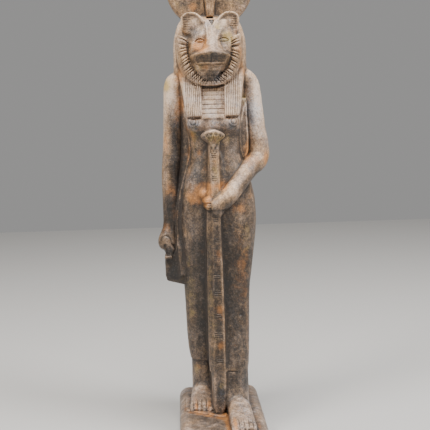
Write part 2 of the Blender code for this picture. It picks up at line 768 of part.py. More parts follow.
def make_ruff(forms):
    """A band of locks around the face. Every other section is a groove between two locks."""
    rings = []
    steps = 2 * RUFF_LOCKS
    for i in range(steps + 1):
        angle = math.radians(RUFF_START + (RUFF_END - RUFF_START) * i / steps)
        inner = ruff_edge(angle, RUFF_INNER, RUFF_INNER_POWER)
        outer = ruff_edge(angle, RUFF_OUTER, RUFF_OUTER_POWER)
        groove = i % 2 == 0
        cut = LOCK_DEPTH if groove else 0.0
        reach = 1.0 - LOCK_TIP if groove else 1.0
        ring = []
        for share, forward in RUFF_PROFILE:
            x, z = inner.lerp(outer, share * reach)
            ring.append((x, -(forward - cut), z))
        for share in (reach, 0.0):
            x, z = inner.lerp(outer, share)
            ring.append((x, -RUFF_ROOT, z))
        rings.append(ring)
    add_form("ruff", loft(rings), forms)


def face_forward(x, z):
    """How far the face stands forward at a point, with x measured from its middle line."""
    forward, half_width, softness = section_at(FACE_LINE, z)
    across = abs(x)
    eye_across = across - EYE_X
    eye_up = z - EYE_Z
    round_part = 1.0 - (x / SKULL[0]) ** 2 - ((z - SKULL_Z) / SKULL[1]) ** 2
    side = SKULL[2] * math.sqrt(max(round_part, SKULL_LEAST))
    side += BROW_BULGE * bump(eye_across, BROW_SIZE[0]) * bump(eye_up - BROW_RISE, BROW_SIZE[1])
    side -= SOCKET_DEPTH * bump(eye_across, SOCKET_SIZE[0]) * bump(eye_up, SOCKET_SIZE[1])
    side += EYE_BULGE * bump(eye_across, EYE_SIZE[0]) * bump(eye_up, EYE_SIZE[1])
    cheek = bump(across - CHEEK_GROOVE_X, CHEEK_GROOVE_WIDTH)
    side -= CHEEK_GROOVE_DEPTH * cheek * band(eye_up, *CHEEK_GROOVE_SPAN)
    ridge = 1.0 - soft_step(across, half_width, half_width + softness)
    value = side + max(forward - side, 0.0) * ridge
    lip = bump(across, LIP_GROOVE_WIDTH)
    return value - LIP_GROOVE_DEPTH * lip * band(eye_up, *LIP_GROOVE_SPAN)


def face_columns(z):
    """Places across the face, closer together where the side of the ridge falls away."""
    _, half_width, softness = section_at(FACE_LINE, z)
    stops = (0.0, half_width, half_width + softness, FACE_HALF_WIDTH)
    places = [0.0]
    for low, high, count in zip(stops, stops[1:], FACE_COLUMNS):
        places += [low + (high - low) * (k + 1) / count for k in range(count)]
    return [-x for x in reversed(places[1:])] + places


def make_face(forms):
    """Rows of points over the front of the head, closed behind."""
    low, high = FACE_LINE[0][0], FACE_LINE[-1][0]
    rings = []
    for j in range(FACE_ROWS):
        z = low + (high - low) * j / (FACE_ROWS - 1)
        middle = FACE_X + FACE_LEAN * (z - SKULL_Z)
        ring = [(middle + x, -face_forward(x, z), z) for x in face_columns(z)]
        ring.append((middle + FACE_HALF_WIDTH, -FACE_ROOT, z))
        ring.append((middle - FACE_HALF_WIDTH, -FACE_ROOT, z))
        rings.append(ring)
    add_form("face", loft(rings), forms)


def make_ear(name, side, forms):
    """A shallow dish with the ear's outline, turned outwards."""
    bm = bmesh.new()
    count = len(EAR_OUTLINE)
    rows = []
    for share, forward in EAR_PROFILE:
        if share == 0.0:
            rows.append([bm.verts.new((0.0, -forward, 0.0))] * count)
            continue
        row = [
            (side * share * out, -(forward + share * up * EAR_TILT), share * up)
            for out, up in EAR_OUTLINE
        ]
        rows.append([bm.verts.new(point) for point in row])
    for inner, outer in zip(rows, rows[1:]):
        for i in range(count):
            j = (i + 1) % count
            corners = (inner[i], inner[j], outer[j], outer[i])
            bm.faces.new(list(dict.fromkeys(corners)))
    turn = math.radians(side * EAR_TURN)
    for vert in bm.verts:
        x, y, z = vert.co
        vert.co = (
            side * EAR_X + EAR_OFFSET + x * math.cos(turn) - y * math.sin(turn),
            EAR_Y + x * math.sin(turn) + y * math.cos(turn),
            EAR_Z + z,
        )
    add_form(name, bm, forms)


def disk_middle():
    origin = figure_origin()
    z = origin.z + CROWN * PART - DISK_SINK + DISK_DIAMETER / 2.0
    return Vector((DISK_X * PART, origin.y + DISK_Y * PART, z))


def make_disk(forms):
    bm = bmesh.new()
    radius = DISK_DIAMETER / 2.0
    bmesh.ops.create_cone(
        bm,
        cap_ends=True,
        segments=DISK_SIDES,
        radius1=radius,
        radius2=radius,
        depth=DISK_THICKNESS,
    )
    rims = [edge for edge in bm.edges if edge.verts[0].co.z * edge.verts[1].co.z > 0.0]
    bmesh.ops.bevel(
        bm, geom=rims, offset=DISK_EDGE_BEVEL, segments=3, profile=0.5, affect="EDGES"
    )
    for vert in bm.verts:
        x, y, z = vert.co
        vert.co = Vector((x, z, y)) + disk_middle()
    add_form("disk", bm, forms, on_grid=False)


def make_cobra(forms):
    face = DISK_Y - DISK_THICKNESS / PART / 2.0
    rings = []
    for z, half_width, relief in COBRA_SECTIONS:
        depth = (relief + COBRA_ROOT) / 2.0
        ring = [
            (COBRA_X + half_width * across, face + COBRA_ROOT - depth * (1.0 + ahead), z)
            for across, ahead in oval(COBRA_SIDES, COBRA_POWER)
        ]
        rings.append(ring)
    add_form("cobra", loft(rings), forms)


def make_pillar(forms):
    back = figure_origin().y + pillar_back()
    half = PILLAR_WIDTH / 2.0
    top = PLINTH_HEIGHT + WIG_SECTIONS[3][0] * PART
    inner = figure_origin().y + 2.0 * PART
    pillar = box((-half, inner, PLINTH_HEIGHT / 2.0), (half, back, top))
    add_form("back_pillar", pillar, forms, on_grid=False, flat=True)


def make_plinth(collection):
    front, back = plinth_reach()
    half_width = plinth_width() / 2.0
    half_depth = (front + back) / 2.0
    bm = box((-half_width, -half_depth, 0.0), (half_width, half_depth, PLINTH_HEIGHT))
    uprights = [edge for edge in bm.edges if edge.verts[0].co.z != edge.verts[1].co.z]
    bmesh.ops.bevel(
        bm, geom=uprights, offset=PLINTH_CORNER_RADIUS, segments=5, profile=0.5, affect="EDGES"
    )
    half_height = PLINTH_HEIGHT / 2.0
    rim = [edge for edge in bm.edges if all(vert.co.z > half_height for vert in edge.verts)]
    bmesh.ops.bevel(
        bm, geom=rim, offset=PLINTH_EDGE_BEVEL, segments=2, profile=0.5, affect="EDGES"
    )
    return add_object("goddess_statue", bm, collection, flat=True)


def join_forms(block, forms):
    join = block.modifiers.new("one block of stone", "BOOLEAN")
    join.operation = "UNION"
    join.operand_type = "COLLECTION"
    join.collection = forms
    join.solver = "EXACT"


def new_collection(name):
    collection = bpy.data.collections.new(name)
    bpy.context.scene.collection.children.link(collection)
    return collection


def main():
    for obj in list(bpy.data.objects):
        bpy.data.objects.remove(obj, do_unlink=True)
    statue = new_collection("Lioness goddess statue")
    forms = new_collection("Carved forms")
    forms.hide_render = True
    make_body(forms)
    make_shin("right_shin", RIGHT_SHIN, forms)
    make_shin("left_shin", LEFT_SHIN, forms)
    make_foot("right_foot", RIGHT_HEEL, -1.0, forms)
    make_foot("left_foot", LEFT_HEEL, 1.0, forms)
    make_arms(forms)
    make_webs(forms)
    make_sceptre(forms)
    make_breasts(forms)
    make_necklace(forms)
    make_lappet("right_lappet", -1.0, forms)
    make_lappet("left_lappet", 1.0, forms)
    make_wig(forms)
    make_ruff(forms)
    make_face(forms)
    make_ear("right_ear", -1.0, forms)
    make_ear("left_ear", 1.0, forms)
    make_disk(forms)
    make_cobra(forms)
    make_pillar(forms)
    join_forms(make_plinth(statue), forms)


main()
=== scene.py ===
# Looks of the granite lioness goddess: the carved skin of the statue, its stone, the floor,
# the light and the camera. Sizes in the tables are grid parts (1 part is 1 mm): x from her
# axis, forward from the middle of her body towards the viewer, z from the plinth's top.
import math
import bpy
import numpy as np
from mathutils import Matrix, Vector
from mathutils.kdtree import KDTree


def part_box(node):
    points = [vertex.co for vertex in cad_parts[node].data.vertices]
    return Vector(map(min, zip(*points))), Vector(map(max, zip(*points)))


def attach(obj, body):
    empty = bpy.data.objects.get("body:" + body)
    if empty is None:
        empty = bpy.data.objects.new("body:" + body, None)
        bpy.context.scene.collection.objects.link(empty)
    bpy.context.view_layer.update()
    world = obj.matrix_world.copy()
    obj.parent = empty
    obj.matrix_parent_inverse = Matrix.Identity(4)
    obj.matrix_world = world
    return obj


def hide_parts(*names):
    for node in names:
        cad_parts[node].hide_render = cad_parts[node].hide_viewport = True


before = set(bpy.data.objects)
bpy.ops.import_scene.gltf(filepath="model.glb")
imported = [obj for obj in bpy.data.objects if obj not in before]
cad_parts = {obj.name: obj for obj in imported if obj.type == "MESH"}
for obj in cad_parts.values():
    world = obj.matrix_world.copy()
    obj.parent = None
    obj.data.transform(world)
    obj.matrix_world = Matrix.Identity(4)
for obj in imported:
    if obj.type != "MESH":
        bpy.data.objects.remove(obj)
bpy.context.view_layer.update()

grid = {"part": 0.001, "plinthTop": 0.026, "toes": 104.0, "toesToEdge": 0.011}
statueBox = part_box("goddess_statue")
figureY = statueBox[0].y + grid["toes"] * grid["part"] + grid["toesToEdge"]


def place(points):
    # x, forward and z in grid parts become metres in the model's frame.
    points = np.asarray(points, float)
    out = np.empty_like(points)
    out[..., 0] = points[..., 0] * grid["part"]
    out[..., 1] = figureY - points[..., 1] * grid["part"]
    out[..., 2] = grid["plinthTop"] + points[..., 2] * grid["part"]
    return out


# The camera, placed first
camera = {"focal": 800.0, "framePixels": 430.0, "sensor": 36.0, "x": -0.0353, "ahead": 0.830,
          "height": 0.3005, "aimRight": 34.0, "aimDown": 75.0, "roll": 1.62}


def addCamera():
    data = bpy.data.cameras.new("photoCamera")
    data.sensor_width = camera["sensor"]
    data.lens = camera["focal"] / camera["framePixels"] * camera["sensor"]
    data.clip_start = 0.01
    eye = bpy.data.objects.new("photoCamera", data)
    turn = Matrix.Rotation(-math.atan(camera["aimRight"] / camera["focal"]), 4, "Z")
    tip = Matrix.Rotation(math.pi / 2 - math.atan(camera["aimDown"] / camera["focal"]), 4, "X")
    roll = Matrix.Rotation(-math.radians(camera["roll"]), 4, "Z")
    spot = Vector((camera["x"], figureY - camera["ahead"], camera["height"]))
    eye.matrix_world = Matrix.Translation(spot) @ turn @ tip @ roll
    bpy.context.scene.collection.objects.link(eye)
    bpy.context.scene.camera = eye


addCamera()
print("camera placed")


def deselectAll():
    if bpy.context.object and bpy.context.object.mode != "OBJECT":
        bpy.ops.object.mode_set(mode="OBJECT")
    bpy.ops.object.select_all(action="DESELECT")


def activate(obj):
    deselectAll()
    obj.select_set(True)
    bpy.context.view_layer.objects.active = obj


def applyModifier(obj, kind, **settings):
    activate(obj)
    bpy.ops.object.modifier_add(type=kind)
    modifier = obj.modifiers[-1]
    for name, value in settings.items():
        setattr(modifier, name, value)
    bpy.ops.object.modifier_apply(modifier=modifier.name)


def smoothCurve(t, values, at):
    # Values of a table between its rows, on a curve that doesn't overshoot.
    t, values, at = np.asarray(t, float), np.asarray(values, float), np.asarray(at, float)
    step = np.diff(t)[:, None]
    slope = np.diff(values, axis=0) / step
    tangent = np.zeros_like(values)
    same = slope[:-1] * slope[1:] > 0
    both = np.where(same, slope[:-1] + slope[1:], 1.0)
    tangent[1:-1] = np.where(same, 2 * slope[:-1] * slope[1:] / both, 0.0)
    tangent[0], tangent[-1] = slope[0], slope[-1]
    i = np.clip(np.searchsorted(t, at, side="right") - 1, 0, len(t) - 2)
    s = ((at - t[i]) / (t[i + 1] - t[i]))[:, None]
    h = step[i]
    return ((1 + 2 * s) * (1 - s) ** 2 * values[i] + s * (1 - s) ** 2 * h * tangent[i]
            + s * s * (3 - 2 * s) * values[i + 1] + s * s * (s - 1) * h * tangent[i + 1])


def byHeight(rows, count):
    # A table's rows at even steps of its first column.
    rows = np.asarray(sorted(rows), float)
    z = np.linspace(rows[0, 0], rows[-1, 0], count)
    return np.column_stack([z, smoothCurve(rows[:, 0], rows[:, 1:], z)])


def columns(rows, count):
    return byHeight(rows, count).T[:, :, None]


def evenly(points, count):
    # Points at even steps along a line.
    gaps = np.linalg.norm(np.diff(points[:, :3], axis=0), axis=1)
    along = np.concatenate([[0], np.cumsum(gaps)])
    return smoothCurve(along, points, np.linspace(0, along[-1], count))


def curled(value, power):
    return np.sign(value) * np.abs(value) ** power


def oval(sides, power):
    # Points around a squared oval; the power may be a column, one for each ring.
    angle = np.linspace(0, 2 * np.pi, sides, endpoint=False)
    return curled(np.cos(angle), 2 / power), curled(np.sin(angle), 2 / power)


def ease(value, low, high):
    share = np.clip((np.asarray(value, float) - low) / (high - low), 0, 1)
    return share * share * (3 - 2 * share)


def within(value, low, high, soft):
    return ease(value, low - soft, low + soft) * (1 - ease(value, high - soft, high + soft))


def hill(value, width):
    return np.exp(-(np.asarray(value, float) / width) ** 2)


def area(across, f, z, limits):
    # 1 on the part of the statue that a relief covers, easing to 0 around it.
    left, right, soft, foot, top, softZ, behind, before = limits
    return within(across, left, right, soft) * within(z, foot, top, softZ) * ease(f, behind, before)


def comb(value, pitch, width):
    # A hill at every whole number of pitches.
    row = value / pitch
    return hill((row - np.round(row)) * pitch, width)


forms = []  # every part of the carving, joined into one skin later


def skin(name, rings):
    # A closed skin over rings with equal numbers of points.
    rings = np.asarray(rings, float)
    count, sides = rings.shape[:2]
    faces = []
    for r in range(count - 1):
        for s in range(sides):
            t = (s + 1) % sides
            faces.append((r * sides + s, r * sides + t, (r + 1) * sides + t, (r + 1) * sides + s))
    faces.append(tuple(range(sides)))
    faces.append(tuple((count - 1) * sides + s for s in range(sides)))
    mesh = bpy.data.meshes.new(name)
    mesh.from_pydata(place(rings.reshape(-1, 3)).tolist(), [], faces)
    mesh.validate()
    obj = bpy.data.objects.new(name, mesh)
    bpy.context.scene.collection.objects.link(obj)
    forms.append(obj)


def column(name, x, forward, z):
    skin(name, np.stack([x, forward, np.broadcast_to(z, x.shape)], axis=-1))


def limb(name, rows, count, sides, power):
    # A skin along a bent line. Rows: x, forward, z, half width, half depth.
    rows = evenly(np.asarray(rows, float), count)
    way = np.gradient(rows[:, :3], axis=0)
    way /= np.linalg.norm(way, axis=1)[:, None]
    across = np.cross(way, np.array([0.0, -1.0, 0.0]))
    across /= np.linalg.norm(across, axis=1)[:, None]
    ahead = np.cross(across, way)
    a, b = oval(sides, power)
    rings = (rows[:, None, :3] + across[:, None] * rows[:, None, 3:4] * a[None, :, None]
             + ahead[:, None] * rows[:, None, 4:5] * b[None, :, None])
    skin(name, rings)


def pill(name, start, end, radius):
    # A finger: a round-ended rod from start to end.
    start, end = np.asarray(start, float), np.asarray(end, float)
    way = (end - start) / np.linalg.norm(end - start)
    side = np.cross(way, [0.0, 1.0, 0.2])
    side /= np.linalg.norm(side)
    up = np.cross(side, way)
    rings = []
    steep = np.pi / 2 - 0.08  # the ends stay a little open, so that no ring is a point
    for point, low, high in ((start, -steep, 0), (end, 0, steep)):
        for turn in np.linspace(low, high, 6):
            rings.append((point + way * radius * math.sin(turn), radius * math.cos(turn)))
    a, b = oval(20, 2.2)
    skin(name, [[middle + side * size * x + up * size * y for x, y in zip(a, b)]
                for middle, size in rings])


def settle(name, scale=(1, 1, 1), bevel=0, segments=3):
    # The primitive just added gets its name, size and rounded edges.
    obj = bpy.context.object
    obj.name = name
    obj.scale = scale
    bpy.ops.object.transform_apply(location=True, rotation=True, scale=True)
    if bevel:
        applyModifier(obj, "BEVEL", width=bevel * grid["part"], segments=segments)
    forms.append(obj)


def block(name, low, high, bevel):
    # A cube set between two corners, with rounded edges.
    deselectAll()
    low, high = Vector(place(low)), Vector(place(high))
    bpy.ops.mesh.primitive_cube_add(size=1, location=(low + high) / 2)
    settle(name, [abs(b - a) for a, b in zip(low, high)], bevel)


def egg(name, middle, size):
    # A ball pressed to half sizes along x, forward and z.
    deselectAll()
    spot = Vector(place(middle))
    bpy.ops.mesh.primitive_uv_sphere_add(segments=48, ring_count=28, radius=1, location=spot)
    settle(name, [s * grid["part"] for s in size])


# Body and dress
body = {
    "levels": 230, "sides": 132, "power": (3.2, 2.3), "squareFrom": 190,
    "strideMiddle": -2, "strideBlend": 6, "hemRise": 3.4,
    # z, left side, right side, forward over the right leg, forward over the left leg, back
    "rows": [
        (344, -17, 17, 12, 12, 12), (338.5, -32, 32, 15, 15, 16),
        (331, -36, 36, 18, 18, 19), (318, -32.5, 33, 21, 21, 20),
        (304, -29, 30, 23, 23, 20), (290, -27.3, 28.6, 23.5, 23.5, 19),
        (277, -25.2, 28, 21.5, 21.5, 17), (265, -24.3, 28.3, 20.5, 20.5, 16.5),
        (254, -25.6, 30.4, 22, 22, 17.5), (243, -30.2, 34.6, 24, 24, 20),
        (227, -34, 39, 26, 26.5, 24), (212, -36.8, 41.8, 26.5, 27.5, 27),
        (195, -39, 42.6, 26.5, 29, 28), (180, -39.2, 41.6, 26, 30.5, 26.5),
        (161, -37.2, 39, 24.5, 32, 23), (142, -35.6, 36.2, 22.5, 33.5, 19.5),
        (120, -34.2, 33.2, 19.5, 35.5, 17.5), (97, -33.4, 32.2, 16.5, 38.5, 17.5),
        (71, -32.6, 31.2, 13, 43, 18.5), (44, -30.2, 29.4, 9.4, 49, 20),
        (42.2, -29.8, 29, 9.1, 49.4, 20), (41.5, -29, 28.2, 8.2, 48.6, 19.2),
    ],
    "breastX": 20.4, "breastZ": 291, "breastSize": (8.6, 9.4), "breastRise": 6.2,
    "breastPower": 2.6, "hemEnds": 60,
}


def makeBody():
    z, left, right, frontRight, frontLeft, back = columns(body["rows"], body["levels"])
    hem = z.min()
    low, high = body["power"]
    power = low + (high - low) * ease(z, hem, body["squareFrom"])
    a, b = oval(body["sides"], power)
    x = np.where(a > 0, a * right, -a * left)
    share = ease(x, body["strideMiddle"] - body["strideBlend"],
                 body["strideMiddle"] + body["strideBlend"])
    front = frontRight + (frontLeft - frontRight) * share
    forward = (front - back) / 2 + (front + back) / 2 * b
    away = np.hypot((np.abs(x) - body["breastX"]) / body["breastSize"][0],
                    (z - body["breastZ"]) / body["breastSize"][1])
    swell = np.exp(-away ** body["breastPower"]) * ease(b, 0.05, 0.35)
    forward = forward + body["breastRise"] * swell
    lift = body["hemRise"] * (right - x) / (right - left) * (1 - ease(z, hem, body["hemEnds"]))
    column("dress", x, forward, z + lift)


def hemFront(x):
    # How far the dress stands forward at its hem.
    left, right, frontRight, frontLeft, back = body["rows"][-3][1:]
    side, front = (right, frontLeft) if x > 0 else (-left, frontRight)
    power = body["power"][0]
    rise = max(1 - abs(x / side) ** power, 0) ** (1 / power)
    return (front - back) / 2 + (front + back) / 2 * rise


# Legs and feet
legs = {
    # z, middle x, half width, forward of the dress's front, forward of the back
    "right": [(48, -17.9, 10.9, -0.9, -17), (30, -17.9, 10.9, -1.6, -17),
              (16, -18, 10.9, -0.8, -18), (2, -18.5, 10.8, 2.6, -19.5)],
    "left": [(48, 14.5, 13.9, -0.5, 22), (30, 14.8, 13.4, 0.8, 25),
             (16, 15.6, 12.3, 4.6, 31), (2, 16.8, 11.4, 10.6, 36)],
    "sides": 72, "levels": 50, "power": 3.4,
}
feet = {
    # forward of the heel, half width, height of the instep
    "rightRows": [(0, 6, 8), (6, 9.8, 15), (20, 10.9, 19.6), (27, 11.2, 18.6),
                  (34, 11.6, 15.4), (42, 12, 11.4), (50, 12.3, 7.8), (55, 12.1, 5.6),
                  (57.5, 11, 4.2)],
    "leftRows": [(0, 6, 8), (5, 9.8, 14), (11, 10.9, 18), (16, 11.3, 17.2),
                 (24, 11.7, 14.4), (34, 12.1, 11.2), (44, 12.3, 8.4), (54, 12.2, 5.8),
                 (57.5, 11.2, 4.6)],
    "length": 61, "halfWidth": 12.2, "sink": 2, "across": 0.8, "peak": 0.5,
    # x of the middle at the heel, forward of the heel; drift outwards up to the toes
    "rightHeel": (-18.4, -18), "leftHeel": (16.4, 42), "splay": 1.9,
    "toes": [7.4, 4.8, 4.5, 4.1, 3.6], "toeHeight": 4.2, "toeSetback": 1.5, "bigToe": 1.12,
    # ledge before the right foot, by x and forward, and its height
    "ledge": [(-41.9, 30.5), (-32.2, 37.8), (-24.7, 42.6), (-15.7, 47.2), (-7.9, 53.4),
              (-0.1, 57), (3, 56), (5, 46)], "ledgeHeight": 0.9, "nailDepth": 0.4,
    # middle of a toe behind its tip, height of the middle; half sizes, across and up by share
    "toeBack": 5.6, "toeMiddle": 0.46, "toeSize": (0.53, 6.4, 0.60), "levels": 70, "sides": 48,
}


def makeShin(name, rows):
    a, b = oval(legs["sides"], legs["power"])
    z, middle, half, front, back = columns(rows, legs["levels"])
    x = middle + half * a
    front = np.vectorize(hemFront)(x) + front
    column(name, x, (front + back) / 2 + (front - back) / 2 * b, z)


def toeEdges(heel, side):
    # Where each toe begins, from the big toe outwards, and its width.
    share = 2 * feet["halfWidth"] / sum(feet["toes"])
    edge = heel[0] + side * (feet["splay"] - feet["halfWidth"])
    found = []
    for wide in feet["toes"]:
        found.append((edge, wide * share))
        edge += side * wide * share
    return found


def makeFoot(name, heel, side, rows):
    turn = np.linspace(0, np.pi, feet["sides"])
    across, rise = curled(np.cos(turn), feet["across"]), np.abs(np.sin(turn)) ** feet["peak"]
    rings = []
    for ahead, half, height in byHeight(rows, feet["levels"]):
        middle = heel[0] + side * feet["splay"] * ahead / feet["length"]
        ring = [(middle + half * c, heel[1] + ahead, height * r) for c, r in zip(across, rise)]
        ring += [(middle + s * half, heel[1] + ahead, -feet["sink"]) for s in (-1, 1)]
        rings.append(ring)
    skin(name, rings)
    across, along, up = feet["toeSize"]
    for i, (edge, wide) in enumerate(toeEdges(heel, side)):
        tip = heel[1] + feet["length"] - i * feet["toeSetback"]
        high = feet["toeHeight"] * (1 if i else feet["bigToe"])
        egg(name + "Toe" + str(i + 1),
            (edge + side * wide / 2, tip - feet["toeBack"], high * feet["toeMiddle"]),
            (wide * across, along, high * up))


# Arms and hands
arms = {
    # x, forward, z, half width, half depth
    "right": [(-24, -0.5, 337.5, 6, 9), (-31.6, -0.5, 337.4, 7.8, 11),
              (-36.8, -0.5, 333.4, 10.2, 12), (-38.8, -0.5, 327.5, 10.3, 12),
              (-39.5, -0.5, 319, 9.9, 12), (-40.2, -0.5, 304, 9.8, 11.5),
              (-41.3, 0, 284, 9.6, 11), (-42.9, 1, 260, 9.5, 10.5),
              (-44.8, 2, 236, 9.2, 10), (-45.2, 3, 213, 8.7, 9),
              (-45.6, 4, 193, 8.2, 8.4), (-46.3, 4.5, 186, 8.2, 9),
              (-47.8, 5.5, 179.5, 8.9, 10.2), (-49.8, 6.5, 173.6, 9.6, 11),
              (-50.7, 6.5, 170.4, 9.3, 10.8), (-48.6, 6, 166.4, 6.9, 9.6),
              (-47.2, 5.5, 161, 5.9, 8), (-47.2, 5, 157.6, 5.2, 6.8)],
    "left": [(24, -0.5, 338.5, 6, 9), (31.8, -0.5, 338.8, 8.8, 11),
             (36.8, -0.5, 334.4, 9.8, 12), (39.7, -0.5, 327.5, 10, 12),
             (40.9, -0.5, 319, 10, 12), (42.7, -0.5, 304, 9.8, 11.5),
             (44.7, -0.5, 286, 9.8, 11), (46.8, -0.3, 271, 10.4, 11),
             (47.4, 0.5, 260, 10.8, 11.2), (44.2, 4.5, 252, 10.7, 11),
             (37.8, 9.5, 246.5, 9.9, 10.2), (29.4, 17, 237.5, 9.5, 9.7),
             (20.2, 26, 226.3, 9, 9.3), (12, 33, 217.6, 9, 9.4),
             (5.6, 37.6, 212.6, 8.4, 8.8), (0.6, 39.8, 210.4, 7, 7.6),
             (-3, 40.6, 209.6, 5.6, 6.2), (-5.4, 40.8, 209.4, 4.2, 4.6)],
    "levels": 170, "sides": 56, "power": 2.15,
}
rightHand = {
    # the curled finger, the ball of the thumb under it, and the thumb
    "fingers": [((-55, 12.4, 173.4), (-50.4, 15, 173.8), 2.1),
                ((-50.2, 14.8, 173.8), (-47, 14.8, 168.4), 1.7),
                ((-47, 14.8, 168.4), (-44.8, 13.4, 164.2), 1.6)],
    "panel": {"outer": -52.4, "inner": -20, "top": 188, "bottom": 130.4, "fall": 8,
              "corner": 3.5, "forward": 11, "back": -6},
    "cross": {"z": 155.4, "stroke": 3, "relief": 1, "reach": 3.6, "inner": -45.6},
}
leftHand = {
    "palm": ((1, 35, 206.6), (7.6, 9.5, 9.5)),
    "thumb": ((-10.4, 24, 221), (6.4, 7.4, 6.4)),
    "fingers": [((-9.6, 28, 214.2), (-7.6, 38.4, 214), 4),
                ((-9.2, 28, 209), (-7, 39.4, 208.8), 3.8)],
}
webs = {
    # z, x at the body, x at the arm, forward at the body, forward at the arm
    "right": [(322, -31, -33, 9, 6), (306, -28.6, -33.5, 10.4, 5),
              (292, -26.8, -34.5, 9.6, 3.5), (278, -25.2, -35.5, 9, 3),
              (265, -24.2, -36, 9, 3), (252, -27, -37, 9.6, 3),
              (240, -30.4, -38.5, 10.4, 3), (225, -34.6, -39.5, 11.6, 3.5),
              (209, -37.7, -41, 12.4, 5), (192, -39.8, -43, 13, 8.5),
              (175, -39.6, -44.5, 13.4, 11), (155, -38.4, -45, 13.4, 11.4),
              (136, -36.8, -45, 12.8, 11.2)],
    # z, x at the body, x at the arm
    "left": [(316, 33.7, 34.5), (306, 31.8, 34.7), (302, 30.8, 34.7), (289, 28.1, 35.1),
             (276, 27.2, 35.5), (264, 27.9, 35.3), (259, 29.2, 34), (254.5, 30.4, 31.6)],
    "leftForward": 9.6, "back": -5, "bury": 6,
    # blocks between the legs and behind the sceptre: low and high corners
    "legs": [((-9, -14, -2), (2, 4, 46)), ((-8, -4, -2), (5, 40, 46))],
    # z, half width at the body and at the shaft, forward at the body and at the shaft
    "sceptre": [(270, 4.4, 3, 18, 22), (256, 11, 4.6, 19, 27),
                (232, 15, 5.6, 22, 30), (205, 15, 6.6, 22, 31)],
    "sceptreX": -1.6,
}


def makeArms():
    for side in ("right", "left"):
        limb(side + "Arm", arms[side], arms["levels"], arms["sides"], arms["power"])
    for k, finger in enumerate(rightHand["fingers"]):
        pill("rightFinger" + str(k), *finger)
    p = rightHand["panel"]
    corner = [(p["outer"] + p["corner"] * (1 + math.cos(t)),
               p["bottom"] + p["corner"] * (1 + math.sin(t)))
              for t in np.linspace(math.pi, 1.5 * math.pi, 8)]
    outline = [(p["outer"], p["top"])] + corner
    outline += [(p["inner"], p["bottom"] - p["fall"]), (p["inner"], p["top"])]
    skin("handPanel", [[(x, f, z) for x, z in outline] for f in (p["forward"], p["back"])])
    c = rightHand["cross"]
    face, half = p["outer"] - c["relief"], c["stroke"] / 2
    block("crossBar", (face, p["back"] - c["reach"], c["z"] - half),
          (c["inner"], p["forward"] + c["reach"], c["z"] + half), 0.6)
    middle = (p["forward"] + p["back"]) / 2
    block("crossStem", (face, middle - half, p["bottom"] + p["corner"]),
          (c["inner"], middle + half, c["z"]), 0.6)
    for name in ("palm", "thumb"):
        egg(name, *leftHand[name])
    for k, finger in enumerate(leftHand["fingers"]):
        pill("leftFingers" + str(k), *finger)
    makeWebs()


def makeWebs():
    # Stone left between the arms, the legs, the sceptre and the body.
    w = webs
    bury, back, flat = w["bury"], w["back"], w["leftForward"]
    skin("rightWeb", [
        [(near + bury, high, z), (near, high, z), (near - 1.0, high - 1.3, z), (far, low, z),
         (far - bury, low - 1, z), (far - bury, back, z), (near + bury, back, z)]
        for z, near, far, high, low in byHeight(w["right"], 90)])
    skin("leftWeb", [
        [(near - bury, flat, z), (near, flat, z), (far, flat, z), (far + 1.2, flat - 5, z),
         (far + 4, flat - 7, z), (far + 4, back, z), (near - bury, back, z)]
        for z, near, far in byHeight(w["left"], 60)])
    for k, (low, high) in enumerate(w["legs"]):
        block("legWeb" + str(k), low, high, 0.5)
    middle = w["sceptreX"]
    skin("sceptreWeb", [
        [(middle - wide, root, z), (middle - near, face, z), (middle + near, face, z),
         (middle + wide, root, z), (middle + wide, 0, z), (middle - wide, 0, z)]
        for z, wide, near, root, face in byHeight(w["sceptre"], 50)])


# Sceptre
sceptre = {
    # z, left root, left edge of the face, right edge of the face, right root, forward
    "rows": [(-1, -6, -5.4, -0.8, 0.6, 50), (3, -8, -6.4, 1, 2.8, 51.5),
             (9, -9, -7.2, 2.5, 4.6, 51.6), (34, -9.4, -7.2, 3.5, 5.6, 50.6),
             (41.2, -9.6, -7.2, 3.5, 5.6, 50.2), (43.6, -11.4, -7.2, 3.5, 5.6, 50),
             (80, -11.6, -6.6, 3.3, 5.2, 46.4), (126, -11.2, -5.6, 3.3, 4.9, 43),
             (196, -10, -4.6, 2.1, 3.8, 41), (232, -8, -4.6, 2.4, 4.6, 38.5),
             (264, -6.6, -4.7, 2.3, 4.4, 36.4), (274, -6.2, -4.4, 2.4, 5.4, 36)],
    "root": 8, "flankDepth": 6.2, "levels": 240,
    "lines": [54.5, 80, 99.4, 121.7, 138.8, 157.2, 175.4, 195.8, 236.6, 259],
    "perGroup": 3, "pitch": 1.9, "halfWidth": 0.36, "depth": 0.34, "ridge": 0.24, "inset": 1.2,
}
umbel = {
    # z, half width, forward of its front
    "rows": [(258, 2.9, 36), (262, 3.3, 37.6), (267, 3.7, 38.4), (269.5, 4.2, 38.8),
             (271.5, 5.4, 39.4), (273.6, 7.4, 40.2), (275.6, 10, 41), (277.2, 11.6, 41.6),
             (278.8, 12, 42), (280.6, 10.9, 42), (282.8, 7.6, 41.4), (284.6, 2.6, 40)],
    "x": -1.3, "root": 12, "sides": 60, "levels": 60, "power": 2.5,
}


